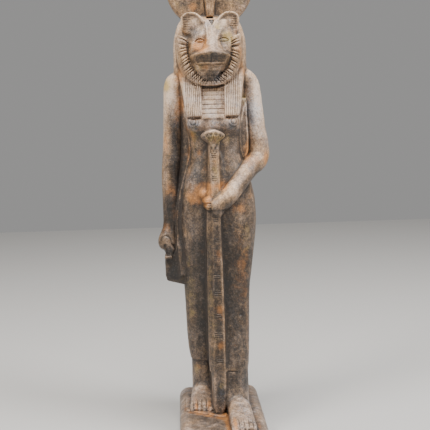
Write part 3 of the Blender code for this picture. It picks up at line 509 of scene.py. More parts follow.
def makeSceptre():
    root, flank = sceptre["root"], sceptre["flankDepth"]
    rings = []
    for z, leftRoot, left, right, rightRoot, forward in byHeight(sceptre["rows"],
                                                                 sceptre["levels"]):
        rings.append([(leftRoot, root, z), (leftRoot, forward - flank, z),
                      (left - 0.5, forward - 0.8, z), (left + 0.3, forward, z),
                      (right - 0.3, forward, z), (right + 0.5, forward - 0.6, z),
                      (rightRoot, forward - flank / 2, z), (rightRoot, root, z)])
    skin("sceptreShaft", rings)
    a, b = oval(umbel["sides"], umbel["power"])
    z, half, front = columns(umbel["rows"], umbel["levels"])
    root = umbel["root"]
    column("umbel", umbel["x"] + half * a, root + (front - root) / 2 * (1 + b), z)


# Chest
chest = {
    "nippleX": 20.4, "nippleZ": 292.8,
    "necklaceX": 0.4, "necklaceHalf": 12, "necklaceTop": 342, "necklaceLow": 296.4,
    "necklaceForward": (19.4, 24.4), "root": 8,
    # the necklace's rows and beads: distance, half width, depth; the beads' heights
    "rowPitch": 4.56, "rowWidth": 0.5, "rowDepth": 0.7, "beadPitch": 1.75, "beadWidth": 0.4,
    "beads": [(0.6, 314.8, 339, 0.6), (0.22, 301.5, 305.3, 0.5)],
    # circles of the breasts: rise, radius, half width
    "circles": [(0.7, 0, 1.8), (-0.7, 2.9, 0.5), (0.45, 4.1, 0.6), (-0.4, 5.3, 0.6)],
    # shadow lines under the lappets (z) and the ruff (below its edge), half width, depth
    "underLappets": (296.6, 1.2, 2.4), "underRuff": (0.3, 1.5, 1.9),
    # relief: least and most across, softness; least and most z, softness; forward, from and to
    "zone": (-1, 11.4, 0.4, 296.8, 341, 0.4, 18, 19.5),
}
lappets = {
    # z, inner x, outer x, forward
    "rows": [(347, 12, 34, 17), (339, 11.9, 33, 21.5), (324, 11.7, 30.4, 25.5),
             (310, 11.5, 28.3, 28), (299.4, 11.4, 26.6, 29), (298.5, 11.6, 26.2, 28.4)],
    "strands": 8, "strandBand": 15, "strandDepth": 0.95, "fall": 5, "edge": 2, "root": 8,
    "levels": 60, "across": 24, "zone": (-0.2, 8.1, 0.15, 297.5, 341, 0.8, 17, 19),
}


def makeChest():
    ends = [chest["necklaceX"] + s * chest["necklaceHalf"] for s in (-1, 1)]
    high, low = chest["necklaceForward"]
    outline = [(high, chest["necklaceTop"]), (low, chest["necklaceLow"]),
               (chest["root"], chest["necklaceLow"]), (chest["root"], chest["necklaceTop"])]
    skin("necklace", [[(x, f, z) for f, z in outline] for x in ends])
    for name, side in (("rightLappet", -1), ("leftLappet", 1)):
        rings = []
        share = np.linspace(0, 1, lappets["across"])
        for z, inner, outer, forward in byHeight(lappets["rows"], lappets["levels"]):
            x = inner + (outer - inner) * share
            f = forward - lappets["fall"] * share ** 3 - lappets["edge"] * ease(share, 0.93, 1.0)
            ring = [(side * px, pf, z) for px, pf in zip(x, f)]
            ring += [(side * outer, lappets["root"], z), (side * inner, lappets["root"], z)]
            rings.append(ring)
        skin(name, rings)


# Head
wig = {
    # z, half width, forward, back
    "rows": [(323, 33, 8, 33), (335, 36.4, 17, 35), (346, 37.4, 22, 36.5),
             (357, 37, 23.5, 37.5), (367, 37.2, 23.5, 38), (377, 36.3, 22, 37),
             (386, 34, 19, 34), (393, 31.2, 15.5, 29), (397.6, 26, 11, 22),
             (399.6, 14, 4, 12)],
    "x": -0.8, "sides": 120, "levels": 110, "power": 2.5,
}
ruff = {
    "x": -2.1, "z": 366, "outer": (32.8, 38.2), "inner": (22.8, 32),
    "outerPower": 2.5, "innerPower": 1.9, "start": 164, "end": 377, "locks": 38,
    "lockDepth": 1.15, "lockRidge": 0.35, "root": 10, "steps": 200, "across": 16,
    # net that the locks are drawn on: steps around and across; half width of a lock at the
    # face and its growth outwards; how far out the lock ends, and how much that differs
    "net": (1400, 25), "lockHalf": (0.22, 0.20), "lockReach": (0.80, 0.14),
    # share of the width, forward
    "profile": [(0, 27.6), (0.12, 29.6), (0.35, 30.2), (0.7, 28.2), (0.92, 23.6), (1, 20)],
}
face = {
    # z, forward, half width of the ridge, softness of its sides
    "line": [(331, 27, 3, 5), (335, 33, 5.2, 4.6), (340, 37.6, 8.4, 4),
             (345, 40, 9.8, 8), (347.4, 40.4, 11, 8), (349.2, 42.2, 12.4, 7.6),
             (352, 44, 14.4, 5.6), (355.4, 46.2, 15.6, 5), (356.8, 47, 15.8, 5),
             (358.4, 47.4, 14.4, 5.4), (359.8, 47.3, 10.8, 6.6), (361.4, 46.2, 7.2, 7),
             (364.5, 43.2, 5, 4.8), (368.5, 40.2, 4.4, 3.6), (372, 38, 4.2, 3),
             (379, 34.2, 4.2, 3.4), (385, 31, 4.6, 6), (393, 27, 6, 8)],
    "x": -0.3, "lean": 0.11, "halfWidth": 25, "root": 6, "rows": 180, "columns": 141,
    "skull": (31, 44, 31.5), "skullZ": 366, "eyeX": 11, "eyeZ": 372.3,
    # brow, eye socket, eyeball, cheek and edge of the cheek: rise, x, half width, z, half height
    "swellings": [(1.3, 11, 8, 378.3, 3.2), (-1.5, 11, 7.2, 372.3, 4.6),
                  (1.2, 11, 5, 372.1, 2.4), (1.7, 11.5, 5, 364.5, 5)],
    "cheekEdge": (4.2, 20, 5.5), "leftSoftness": 0.7,
    # eyeballs: half width of the lid, rise of its arch, half width and height, rise, rim's depth
    "ball": (5.4, 0.7, 4.9, 1.5, 0.15, 0.2),
    # groove under the nose: x, half width, depth; whisker rows: z, distance, half width, depth
    "noseGroove": (0.8, 0.9, 0.5), "whiskers": (350.2, 1.45, 0.36, 0.3),
    # notch between the ears: x, foot, top, slope of its sides, depth
    "notch": (0.9, 386.6, 394.4, 1.9, 2.2), "zone": (-1, 21, 1, 332, 392, 1, 20, 23),
}
ears = {
    "x": 16.6, "offset": -0.4, "z": 390, "forward": 20.4, "turn": 14, "tilt": 0.16,
    # the ear's edge, from its middle: outwards, upwards
    "outline": [(12.4, 0), (12.3, 5), (9.8, 9), (4.8, 11.2), (-0.6, 11), (-5.4, 8.8),
                (-9.4, 4.8), (-12.6, -0.4), (-14, -5.6), (-10, -9), (-4, -10),
                (3, -10.2), (9.4, -9.4), (12.2, -5)],
    # share of the outline, forward of its middle
    "profile": [(0, 2.3), (0.45, 2.3), (0.68, 2.4), (0.79, 2.9), (0.88, 3.5), (0.96, 3),
                (1, 1.6), (0.97, -3), (0.75, -7.5), (0.4, -10), (0, -10.5)],
    "sides": 72, "levels": 50, "tip": 0.02,
    # hairs: distance, half width, depth, height of one
    "hairs": (2.3, 0.5, 0.26, 382.4), "zone": (3.4, 10.2, 0.6, 382.6, 397, 0.5, 12, 14),
}


def faceForward(x, z):
    # How far the face stands forward, with x measured from its middle line.
    line = np.array(sorted(face["line"]))
    values = smoothCurve(line[:, 0], line[:, 1:], np.ravel(z)).reshape(np.shape(z) + (3,))
    forward, half, soft = values[..., 0], values[..., 1], values[..., 2]
    across = np.abs(x)
    wide, high, deep = face["skull"]
    inside = 1 - (x / wide) ** 2 - ((z - face["skullZ"]) / high) ** 2
    side = deep * np.sqrt(np.clip(inside, 0.04, 1))
    for rise, px, broad, pz, tall in face["swellings"]:
        side += rise * hill(across - px, broad) * hill(z - pz, tall)
    rise, px, broad = face["cheekEdge"]
    side += rise * hill(across - px, broad) * within(z, 338, 374, 4)
    soft = soft * np.where(x > 0, 1 + face["leftSoftness"] * ease(z, 358, 367), 1.0)
    ridge = 1 - ease(across, half, half + soft)
    crown = 1 - 0.05 * (across / np.maximum(half, 1)) ** 2
    lift = np.maximum(forward * np.where(across < half, crown, 0.95) - side, 0)
    return side + lift * ridge


def makeFace():
    z = np.linspace(face["line"][0][0], face["line"][-1][0], face["rows"])[:, None]
    x = np.linspace(-face["halfWidth"], face["halfWidth"], face["columns"])[None, :]
    x, z = np.broadcast_arrays(x, z)
    middle = face["x"] + face["lean"] * (z - face["skullZ"])
    front = np.stack([middle + x, faceForward(x, z), z], axis=-1)
    back = front[:, [-1, 0]].copy()
    back[..., 1] = face["root"]
    skin("face", np.concatenate([front, back], axis=1))


def ruffEdge(angle, name):
    size, power = ruff[name], 2 / ruff[name + "Power"]
    return np.stack([ruff["x"] + size[0] * curled(np.cos(angle), power),
                     ruff["z"] + size[1] * curled(np.sin(angle), power)], axis=-1)


def makeRuff():
    # The band around the face that the locks are cut from.
    angle = np.radians(np.linspace(ruff["start"], ruff["end"], ruff["steps"] + 1))
    share, forward = byHeight(ruff["profile"], ruff["across"]).T
    rings = []
    for near, far in zip(ruffEdge(angle, "inner"), ruffEdge(angle, "outer")):
        flat = near + (far - near) * share[:, None]
        ring = [(p[0], f, p[1]) for p, f in zip(flat, forward)]
        ring += [(flat[-1][0], ruff["root"], flat[-1][1]), (flat[0][0], ruff["root"], flat[0][1])]
        rings.append(ring)
    skin("ruff", rings)


def makeEar(name, side):
    outline = np.array(ears["outline"] + ears["outline"][:1])
    edge = evenly(outline, ears["sides"] + 1)[:-1]
    profile = byHeight([(k,) + row for k, row in enumerate(ears["profile"])], ears["levels"])[:, 1:]
    profile[[0, -1], 0] = ears["tip"]
    turn = math.radians(ears["turn"])
    rings = []
    for share, forward in profile:
        x = side * share * edge[:, 0]
        z = share * edge[:, 1]
        f = forward + z * ears["tilt"]
        rings.append(np.stack([side * ears["x"] + ears["offset"] + x * math.cos(turn)
                               + side * f * math.sin(turn),
                               ears["forward"] - side * x * math.sin(turn) + f * math.cos(turn),
                               ears["z"] + z], axis=-1))
    skin(name, rings)


def makeWig():
    a, b = oval(wig["sides"], wig["power"])
    z, half, forward, back = columns(wig["rows"], wig["levels"])
    column("wig", wig["x"] + half * a, np.where(b > 0, b * forward, b * back), z)


# Disk and cobra
disk = {"diameter": 89.6, "thickness": 15, "bevel": 3.5, "x": 0.4, "forward": -1,
        "middle": 432}
cobra = {
    # z, half width, how far it stands out of the disk
    "rows": [(396, 4, 4), (401, 4.4, 4.6), (409, 4.7, 5), (416, 5.8, 5.2),
             (424, 5.5, 5.4), (430, 3.6, 6), (433.6, 3.3, 8), (436.6, 2.4, 7.8),
             (438.3, 1.2, 5)],
    "x": 0.4, "root": 3, "levels": 70, "sides": 40, "power": 2.4,
}


def makeDisk():
    deselectAll()
    spot = Vector(place((disk["x"], disk["forward"], disk["middle"])))
    bpy.ops.mesh.primitive_cylinder_add(
        vertices=192, radius=disk["diameter"] / 2 * grid["part"],
        depth=disk["thickness"] * grid["part"], location=spot, rotation=(math.pi / 2, 0, 0))
    settle("sunDisk", bevel=disk["bevel"], segments=8)
    surface, root = disk["forward"] + disk["thickness"] / 2, cobra["root"]
    a, b = oval(cobra["sides"], cobra["power"])
    z, half, relief = columns(cobra["rows"], cobra["levels"])
    column("cobra", cobra["x"] + half * a, surface - root + (relief + root) / 2 * (1 + b), z)


# Pillar and plinth
base = {"pillarHalf": 15, "pillarTop": 357, "pillarBack": -47, "halfWidth": 43.2,
        "corner": 10, "edge": 1.5}


def makeBase():
    block("backPillar", (-base["pillarHalf"], base["pillarBack"], -10.0),
          (base["pillarHalf"], 2.0, base["pillarTop"]), 0.8)
    deselectAll()
    low, high = statueBox
    bpy.ops.mesh.primitive_cube_add(size=1, location=(0, 0, grid["plinthTop"] / 2))
    settle("plinth", (2 * base["halfWidth"] * grid["part"], high.y - low.y, grid["plinthTop"]))
    obj = forms[-1]
    bpy.ops.object.mode_set(mode="EDIT")
    bpy.ops.mesh.select_all(action="DESELECT")
    bpy.ops.object.mode_set(mode="OBJECT")
    for edge in obj.data.edges:
        a, b = [obj.data.vertices[k].co for k in edge.vertices]
        edge.select = abs(a.z - b.z) > 0.001
    bpy.ops.object.mode_set(mode="EDIT")
    bpy.ops.mesh.select_mode(type="EDGE")
    bpy.ops.mesh.bevel(offset=base["corner"] * grid["part"], segments=14)
    bpy.ops.object.mode_set(mode="OBJECT")
    applyModifier(obj, "BEVEL", width=base["edge"] * grid["part"], segments=3)


makeBody()
for name in ("right", "left"):
    makeShin(name + "Shin", legs[name])
for name, side in (("right", -1), ("left", 1)):
    makeFoot(name + "Foot", feet[name + "Heel"], side, feet[name + "Rows"])
makeArms()
makeSceptre()
makeChest()
makeWig()
makeRuff()
makeFace()
for name, side in (("rightEar", -1), ("leftEar", 1)):
    makeEar(name, side)
makeDisk()
makeBase()
print("forms made:", len(forms))


# One skin over all forms
carving = {"voxel": 0.0007, "smooth": 3, "triangles": 190000}


def joinForms():
    deselectAll()
    for obj in forms:
        obj.select_set(True)
    bpy.context.view_layer.objects.active = forms[0]
    bpy.ops.object.join()
    statue = bpy.context.object
    statue.name = "carvedStatue"
    statue.data.name = "carvedStatue"
    bpy.ops.object.mode_set(mode="EDIT")
    bpy.ops.mesh.select_all(action="SELECT")
    bpy.ops.mesh.normals_make_consistent(inside=False)
    bpy.ops.object.mode_set(mode="OBJECT")
    applyModifier(statue, "REMESH", mode="VOXEL", voxel_size=carving["voxel"], adaptivity=0.0)
    applyModifier(statue, "SMOOTH", factor=0.5, iterations=carving["smooth"])
    return statue


statue = joinForms()
print("one skin:", len(statue.data.polygons), "faces")


def readMesh(mesh):
    count = len(mesh.vertices)
    co, normal = np.empty(count * 3), np.empty(count * 3)
    mesh.vertices.foreach_get("co", co)
    mesh.vertex_normals.foreach_get("vector", normal)
    return co.reshape(-1, 3), normal.reshape(-1, 3)


def meshEdges(mesh):
    edges = np.empty(len(mesh.edges) * 2, np.int64)
    mesh.edges.foreach_get("vertices", edges)
    edges = edges.reshape(-1, 2)
    degree = np.maximum(np.bincount(edges.ravel(), minlength=len(mesh.vertices)), 1)
    return edges, degree.astype(float)


def relax(values, edges, degree, rounds):
    for _ in range(rounds):
        total = np.zeros_like(values)
        for k in range(values.shape[1]):
            total[:, k] = (np.bincount(edges[:, 0], values[edges[:, 1], k], len(values))
                           + np.bincount(edges[:, 1], values[edges[:, 0], k], len(values)))
        values = 0.5 * values + 0.5 * total / degree[:, None]
    return values


def gridOf(co):
    # Metres back to x, forward and z in grid parts.
    return (co[:, 0] / grid["part"], (figureY - co[:, 1]) / grid["part"],
            (co[:, 2] - grid["plinthTop"]) / grid["part"])


softened = [  # x, forward, z, radius: joints that the carver rubbed smooth
    (-25.4, 21, 380.4, 5), (22.6, 21, 380.4, 5),
    (-17, 8, 16, 12), (17, 56, 15, 13), (17, 64, 12, 9),
    (-25, 8, 14, 9), (-10, 8, 14, 8), (9, 56, 14, 9),
    (25, 56, 13, 9), (-16, 20, 222, 8), (4, 36, 216, 8),
    (14, 30, 222, 9), (-34, 0, 336, 11), (34, 0, 338, 11),
    (-13, 24, 383, 7), (13, 24, 383, 7),
    (-10, 36, 222, 8), (-13, 30, 224, 9), (-16, 22, 218, 9),
    (-24, 22, 381, 6.5), (-18, 24, 380, 6.5), (16, 24, 380, 6.5),
    (22.5, 22, 381, 6.5), (-16.5, 34, 350, 5), (16.5, 34, 350, 5),
    (-9, 26, 240, 9), (7, 26, 240, 9), (-8, 24, 256, 9),
    (6, 24, 256, 9), (12, 46, 43, 8), (-12, 12, 14, 9),
    (22, 40, 44, 9), (27, 30, 44, 9),
    (2, 36, 203, 8), (6, 32, 201, 8),
]


def rubSmooth(obj):
    mesh = obj.data
    co = readMesh(mesh)[0]
    x, f, z = gridOf(co)
    brush = np.zeros(len(co))
    turn = np.radians(np.linspace(176, 364, 24))  # along the ruff's outer edge
    rim = ruffEdge(turn, "outer")
    for px, pf, pz, radius in softened + [(px, 19.5, pz, 6.0) for px, pz in rim]:
        away = np.sqrt((x - px) ** 2 + (f - pf) ** 2 + (z - pz) ** 2) / radius
        brush = np.maximum(brush, 1 - ease(away, 0.55, 1.1))
    edges, degree = meshEdges(mesh)
    smooth = relax(co.copy(), edges, degree, 30)
    co += (smooth - co) * brush[:, None]
    mesh.vertices.foreach_set("co", co.ravel())
    mesh.update()


rubSmooth(statue)
print("joints rubbed smooth")


# Fine carving needs twice the points, so these places are divided once more
fineZones = [  # least and most x, forward and z; whether only what faces forwards
    (-34, 34, 12, 999, 294, 402, True),  # head and chest
    (-18, 12, 33, 999, -1, 290, True),  # sceptre
    (-999, -40, 2, 999, 148, 184, False),  # right fist
    (-999, 6, 14, 62, -0.6, 13, False),  # right foot
    (3, 999, 72, 999, -0.6, 13, False),  # left foot
]


def refineZones(obj):
    mesh = obj.data
    co, normal = readMesh(mesh)
    x, f, z = gridOf(co)
    ahead = -normal[:, 1] > -0.2
    wanted = np.zeros(len(co), bool)
    for left, right, back, front, low, high, facing in fineZones:
        inside = (x > left) & (x < right) & (f > back) & (f < front) & (z > low) & (z < high)
        wanted |= inside & (ahead | (not facing))
    activate(obj)
    bpy.ops.object.mode_set(mode="EDIT")
    bpy.ops.mesh.select_mode(type="VERT")
    bpy.ops.mesh.select_all(action="DESELECT")
    bpy.ops.object.mode_set(mode="OBJECT")
    mesh.vertices.foreach_set("select", wanted)
    bpy.ops.object.mode_set(mode="EDIT")
    bpy.ops.mesh.select_mode(type="FACE")
    bpy.ops.mesh.subdivide(number_cuts=1)
    bpy.ops.object.mode_set(mode="OBJECT")


refineZones(statue)
print("refined:", len(statue.data.polygons), "faces")


# Relief, cut into the skin point by point
def reliefForward(x, f, z, ahead):
    # How far each point moves towards the viewer, in grid parts.
    move = np.zeros_like(x)
    # strands of the wig
    rows = np.array(sorted(lappets["rows"]))
    inner = np.interp(z, rows[:, 0], rows[:, 1])
    u = (np.abs(x) - inner) / lappets["strandBand"] * lappets["strands"]
    cut = np.abs(np.cos(np.pi * u)) ** 4
    move -= lappets["strandDepth"] * cut * area(u, f, z, lappets["zone"]) * ahead
    # rows of the necklace, and the beads in some of them
    across, up = x - chest["necklaceX"], z - chest["necklaceLow"]
    zone = area(np.abs(across), f, z, chest["zone"]) * ahead
    lines = comb(up, chest["rowPitch"], chest["rowWidth"]) * (up > chest["rowPitch"] / 2)
    move -= chest["rowDepth"] * lines * zone
    beads = comb(across, chest["beadPitch"], chest["beadWidth"]) * zone
    for depth, low, high, soft in chest["beads"]:
        move -= depth * beads * within(z, low, high, soft)
    # groups of short lines down the face of the sceptre
    rows = np.array(sorted(sceptre["rows"]))
    left, right = np.interp(z, rows[:, 0], rows[:, 2]), np.interp(z, rows[:, 0], rows[:, 3])
    zone = within(x, left + sceptre["inset"], right - sceptre["inset"], 0.3) * (f > 34) * ahead
    for middle in sceptre["lines"]:
        for k in range(sceptre["perGroup"]):
            line = middle + (k - (sceptre["perGroup"] - 1) / 2) * sceptre["pitch"]
            move -= sceptre["depth"] * hill(z - line, sceptre["halfWidth"]) * zone
            between = z - line - sceptre["pitch"] / 2
            move += sceptre["ridge"] * hill(between, sceptre["halfWidth"]) * zone
    # circles of the breasts
    d = np.hypot(np.abs(x) - chest["nippleX"], z - chest["nippleZ"])
    for rise, radius, width in chest["circles"]:
        move += rise * hill(d - radius, width) * (f > 17) * ahead * (z < 297.6)
    # shadows under the ends of the lappets and under the ruff
    level, width, depth = chest["underLappets"]
    zone = within(np.abs(x), 12.6, 25.6, 1.6) * ahead * (z < 298.2)
    move -= depth * hill(z - level, width) * zone
    drop, width, depth = chest["underRuff"]
    off, power = (x - ruff["x"]) / ruff["outer"][0], ruff["outerPower"]
    arch = np.clip(1 - np.abs(off) ** power, 0, 1) ** (1 / power)
    brim = ruff["z"] - ruff["outer"][1] * arch
    zone = within(np.abs(x - ruff["x"]), -1, 19, 3) * (f < 24.5) * (f > 12) * ahead
    return move - depth * hill(z - brim + drop, width) * zone


def faceRelief(x, f, z, ahead):
    # Eyeballs, the groove under the nose and the whiskers.
    u = x - face["x"] - face["lean"] * (z - face["skullZ"])
    across = np.abs(u)
    eyeX, eyeZ = across - face["eyeX"], z - face["eyeZ"]
    lid, bend, wide, high, rise, rim = face["ball"]
    arch = eyeZ + 0.2 - bend * (1 - (eyeX / lid) ** 2) * (np.abs(eyeX) < lid)
    d = np.hypot(eyeX / wide, arch / high)
    move = rise * np.clip(1 - d * d, 0, 1) - rim * hill(d - 1.1, 0.25) * (arch < 0)
    px, width, depth = face["noseGroove"]
    move -= depth * hill(u - px, width) * within(z, 350.2, 356.8, 0.7)
    level, pitch, width, depth = face["whiskers"]
    rows = comb(z - level, pitch, width) * within(z, 349.8, 356, 0.4)
    move -= depth * rows * within(across, 2.4, 14.2, 0.5)
    return move * area(across, f, z, face["zone"]) * ahead


def ruffRelief(x, f, z, ahead):
    # Pointed locks: grooves between them that widen towards the face.
    move = np.zeros_like(x)
    # only the points near the band are looked up, since that is slow
    near = (ahead > 0.02) & (f > 17) & (f < 33) & (z > 324) & (z < 384) & (np.abs(x + 2) < 37)
    near &= ~((np.abs(x + 1) < 20) & (z > 346)) & ~((np.abs(x + 1) < 9) & (z > 338))
    rows = np.flatnonzero(near)
    steps, across = ruff["net"]
    turn = np.linspace(0, 1, steps)
    angle = np.radians(ruff["start"] + (ruff["end"] - ruff["start"]) * turn)
    inner, outer = ruffEdge(angle, "inner"), ruffEdge(angle, "outer")
    share = np.linspace(-0.12, 1.12, across)
    net = inner[:, None] + (outer - inner)[:, None] * share[None, :, None]
    tree = KDTree(steps * across)
    for k, (px, pz) in enumerate(net.reshape(-1, 2).tolist()):
        tree.insert((px, pz, 0.0), k)
    tree.balance()
    found = np.array([tree.find((px, pz, 0.0))[1:] for px, pz in zip(x[rows], z[rows])])
    at, away = found[:, 0].astype(int), found[:, 1]
    s = share[at % across]
    lock = turn[at // across] * ruff["locks"]
    # the locks aren't all as wide, and they lean a little
    lock = lock + 0.22 * np.sin(1.9 * lock) + 0.10 * (1 - s)
    number = np.round(lock - 0.5)
    off = np.abs(lock - number - 0.5)
    half = ruff["lockHalf"][0] + ruff["lockHalf"][1] * s
    reach = ruff["lockReach"][0] + ruff["lockReach"][1] * np.sin(2.7 * number)
    cut = ease(off, half, half + 0.12) * ease(s, -0.12, 0.04) * (1 - ease(s, reach - 0.2, reach))
    ridge = hill(off, 0.1) * ease(s, 0, 0.2) * (1 - ease(s, 0.7, 1.0))
    rise = ruff["lockRidge"] * ridge - ruff["lockDepth"] * (1 - 0.35 * s) * cut
    move[rows] = rise * (away < 0.5)
    return move


def earRelief(x, f, z, ahead):
    # Short hairs along the outer side of each ear.
    outward = np.abs(x - ears["offset"]) - ears["x"]
    pitch, width, depth, level = ears["hairs"]
    return -depth * comb(z - level, pitch, width) * area(outward, f, z, ears["zone"]) * ahead


strokes = [  # depth in (-) or out (+), half width, least forward, points x and z
    # ridge from the right ear down the nose, creases under the eyes
    (0.55, 0.7, 21, [(-8.6, 395.2), (-4.9, 390.4), (-4.4, 384), (-4.3, 378), (-4.4, 374),
                     (-6.2, 371.2)]),
    (0.35, 0.6, 30, [(7.4, 369.2), (9.6, 365), (13.8, 362.2)]),
    # upper lids, and a fold over each
    (-1.1, 0.5, 26, [(-16, 371.9), (-13.6, 373.6), (-11.2, 374.1), (-8.6, 373.4),
                      (-6.2, 371.7)]),
    (-0.9, 0.5, 26, [(6.8, 372.1), (9.4, 374.1), (12, 374.9), (14.8, 374.3), (17.4, 372.8)]),
    (0.35, 0.6, 28, [(-15.6, 373.4), (-11.2, 375.2), (-6.6, 373.4)]),
    (0.35, 0.6, 28, [(7.2, 373.8), (12, 376), (17, 374.2)]),
    (-0.4, 0.5, 26, [(-15.8, 371.6), (-13.3, 370.2), (-8.8, 370), (-6.4, 371.2)]),
    (-0.35, 0.5, 26, [(7, 371.6), (9.6, 370.4), (15.4, 371), (17.2, 372.4)]),
    # mouth under the bright edge of the muzzle, lower lip, and the edge of the chin
    (-0.5, 0.5, 32, [(-15.6, 348.1), (-13.2, 347.5), (-4.4, 347.8), (0, 347.4),
                     (4.4, 347.8), (10.4, 347.9), (14.6, 349.1)]),
    (0.8, 0.6, 34, [(-16, 349.7), (-13.5, 349), (-4.4, 349.3), (0.2, 348.9),
                    (4.8, 349.3), (10.8, 349.5), (15.4, 350.7)]),
    (0.6, 1, 30, [(-10, 344.2), (-6, 343.2), (-1, 343), (3, 343.2), (7.4, 344.2)]),
    # cobra and the slot at its foot
    (-1.4, 0.8, 4, [(-5.4, 418), (-5, 413.5), (-4.6, 406), (-3.9, 399.4)]),
    (-0.5, 0.7, 4, [(6.8, 418), (6.2, 410), (5, 400)]),
    (-0.25, 0.4, 8, [(-1.4, 420), (-1.2, 401)]),
    (-0.25, 0.4, 8, [(1.4, 424), (1.2, 402)]),
    (-0.2, 0.4, 8, [(3.6, 420), (3.2, 402)]),
    (-4.5, 0.9, 3, [(-2.8, 397.3), (2.2, 397.3)]),
    # umbel, its sepals and the sheath
    (-0.9, 1.5, 30, [(-9.6, 277.6), (-6.6, 279.6), (-1.2, 280.2), (4.4, 279.4), (7.2, 277.4)]),
    (0.7, 0.8, 30, [(-12.2, 278), (-10.4, 280.5), (-7, 282.4), (-0.8, 283.4), (5.6, 282),
                    (8.2, 280), (9.8, 277.4)]),
    (0.8, 0.45, 30, [(-9.4, 279), (-7.6, 275.2), (-5.6, 280.4), (-3.4, 274), (-1.2, 281),
                     (1.2, 274), (3.4, 280.4), (5.4, 275.2), (7.4, 278.8)]),
    (-0.6, 0.45, 30, [(-4.6, 262), (-3.1, 267.4), (-1.5, 262.4), (0.2, 267.4), (1.6, 262)]),
    (-0.5, 0.4, 30, [(-5.4, 269.4), (-1.4, 271.4), (3.2, 269.4)]),
    # right fist: the curled finger, the thumb and the loop that it holds
    (-0.9, 0.9, 6, [(-56.4, 174.2), (-55.1, 176.6), (-52.5, 178.3), (-49.4, 177.6),
                    (-47.2, 174.8), (-45.6, 169.8), (-43.4, 165.6)]),
    (-1.3, 1.5, 4, [(-52.6, 168.4), (-50.8, 164), (-50, 159.8)]),
    (-1, 0.5, 4, [(-42.2, 188), (-42.4, 176)]),
    (0.7, 0.8, 4, [(-39.8, 194), (-39.5, 180), (-39.9, 170.4), (-41.4, 163.4), (-43.4, 157.4)]),
    # grooves between the fingers of the left hand, edge of its back
    (-0.6, 0.45, 30, [(-13.8, 214.8), (-6.4, 214.4)]),
    (-0.6, 0.45, 30, [(-13.6, 212.4), (-6.2, 212)]),
    (-0.6, 0.45, 30, [(-13.2, 210), (-6.2, 209.6)]),
    (-0.6, 0.45, 30, [(-12.8, 207.6), (-6, 207.2)]),
    (-0.7, 0.6, 34, [(-14.2, 217.2), (-10, 216.6), (-6.2, 216)]),
    (-0.45, 0.5, 34, [(-5.4, 226), (-5.6, 216), (-5.2, 209), (-5, 204.6)]),
    # lip of the panel between the left arm and the body
    (0.6, 0.6, 3, [(33.8, 311), (30.9, 302.4), (28.3, 288.9), (27.5, 275.8), (28.2, 263.6),
                   (30.4, 256.6)]),
    (0.6, 0.6, 3, [(34.3, 309), (34.7, 300), (34.9, 283.7), (35.3, 268.4), (34.1, 260.3),
                   (30.8, 256.4)]),
    # ridge between the right arm's web and the body
    (0.5, 0.7, 5, [(-29, 308), (-26.8, 292), (-25.3, 279), (-24.3, 265), (-27.2, 252),
                   (-30.8, 239), (-34.8, 224.5), (-37.8, 209), (-39.9, 192)]),
    # hem of the dress on the left leg
    (-0.8, 0.6, 30, [(6.6, 43.6), (12, 43), (15.6, 42.4)]),
    # ridge down the right edge of the sceptre
    (0.5, 0.5, 30, [(3.9, 262), (3.6, 246), (3.2, 229)]),
]


def strokeRelief(x, f, z, ahead):
    move = np.zeros_like(x)
    for depth, width, least, points in strokes:
        points = np.array(points, float)
        low, high = points.min(axis=0) - 3 * width, points.max(axis=0) + 3 * width
        rows = np.flatnonzero((x > low[0]) & (x < high[0]) & (z > low[1]) & (z < high[1])
                              & (f > least) & (ahead > 0.02))
        spots = np.column_stack([x[rows], z[rows]])
        nearest = np.full(len(rows), 1e9)
        for a, b in zip(points, points[1:]):
            t = np.clip(((spots - a) @ (b - a)) / ((b - a) @ (b - a)), 0, 1)
            nearest = np.minimum(nearest, np.linalg.norm(spots - a - t[:, None] * (b - a), axis=1))
        move[rows] += depth * hill(nearest, width) * ahead[rows]
    px, foot, top, slope, depth = face["notch"]
    inside = np.minimum((z - foot) / slope - np.abs(x - px), (top - z) * 1.5)
    return move - depth * ease(inside, -0.2, 0.9) * (f > 18) * ahead


def footRelief(x, f, z):
    # How far points rise: the furrows between the toes and the ledge before the right foot.
    rise = np.zeros_like(x)
    for heel, side in ((feet["rightHeel"], -1), (feet["leftHeel"], 1)):
        ahead = f - heel[1]
        run = ease(ahead, 43, 54) * (ahead < feet["length"] + 1) * (z > 0.8) * (z < 14)
        for edge, _ in toeEdges(heel, side)[1:]:
            rise -= hill(x - edge - side * 0.03 * (ahead - 54), 0.55) * run
    edge = np.interp(x, *zip(*feet["ledge"]))
    plane = (np.abs(z) < 0.45) * (x > -42) * (x < 5.5) * (f < 62) * (f > -20)
    plane = plane * ease(x, -42, -33) * ease(f, -20, 10)
    return rise + feet["ledgeHeight"] * ease(edge - f, -0.35, 0.35) * plane


def toeRelief(x, f, z):
    # Nails of the toes.
    move = np.zeros_like(x)
    for heel, side in ((feet["rightHeel"], -1), (feet["leftHeel"], 1)):
        for i, (edge, wide) in enumerate(toeEdges(heel, side)):
            tip = heel[1] + feet["length"] - i * feet["toeSetback"]
            d = np.hypot((x - edge - side * wide / 2) / (wide * 0.3), (f - tip + 3.6) / 2.2)
            move -= feet["nailDepth"] * hill(d - 1, 0.28) * (z > 2.2) * (z < 9)
    return move


pits = [  # x, forward, z, radius, depth
    (21.5, 36, 98, 1.1, 1), (-27, 16, 262, 0.9, 0.6), (12, 30, 188, 0.8, 0.6),
    (-18, 24, 150, 0.9, 0.6), (33, 20, 172, 0.8, 0.6), (-44, 8, 222, 1, 0.6),
    (24, 38, 66, 0.8, 0.7), (-20, 14, 70, 0.9, 0.6), (46, 10, 300, 0.9, 0.5),
]


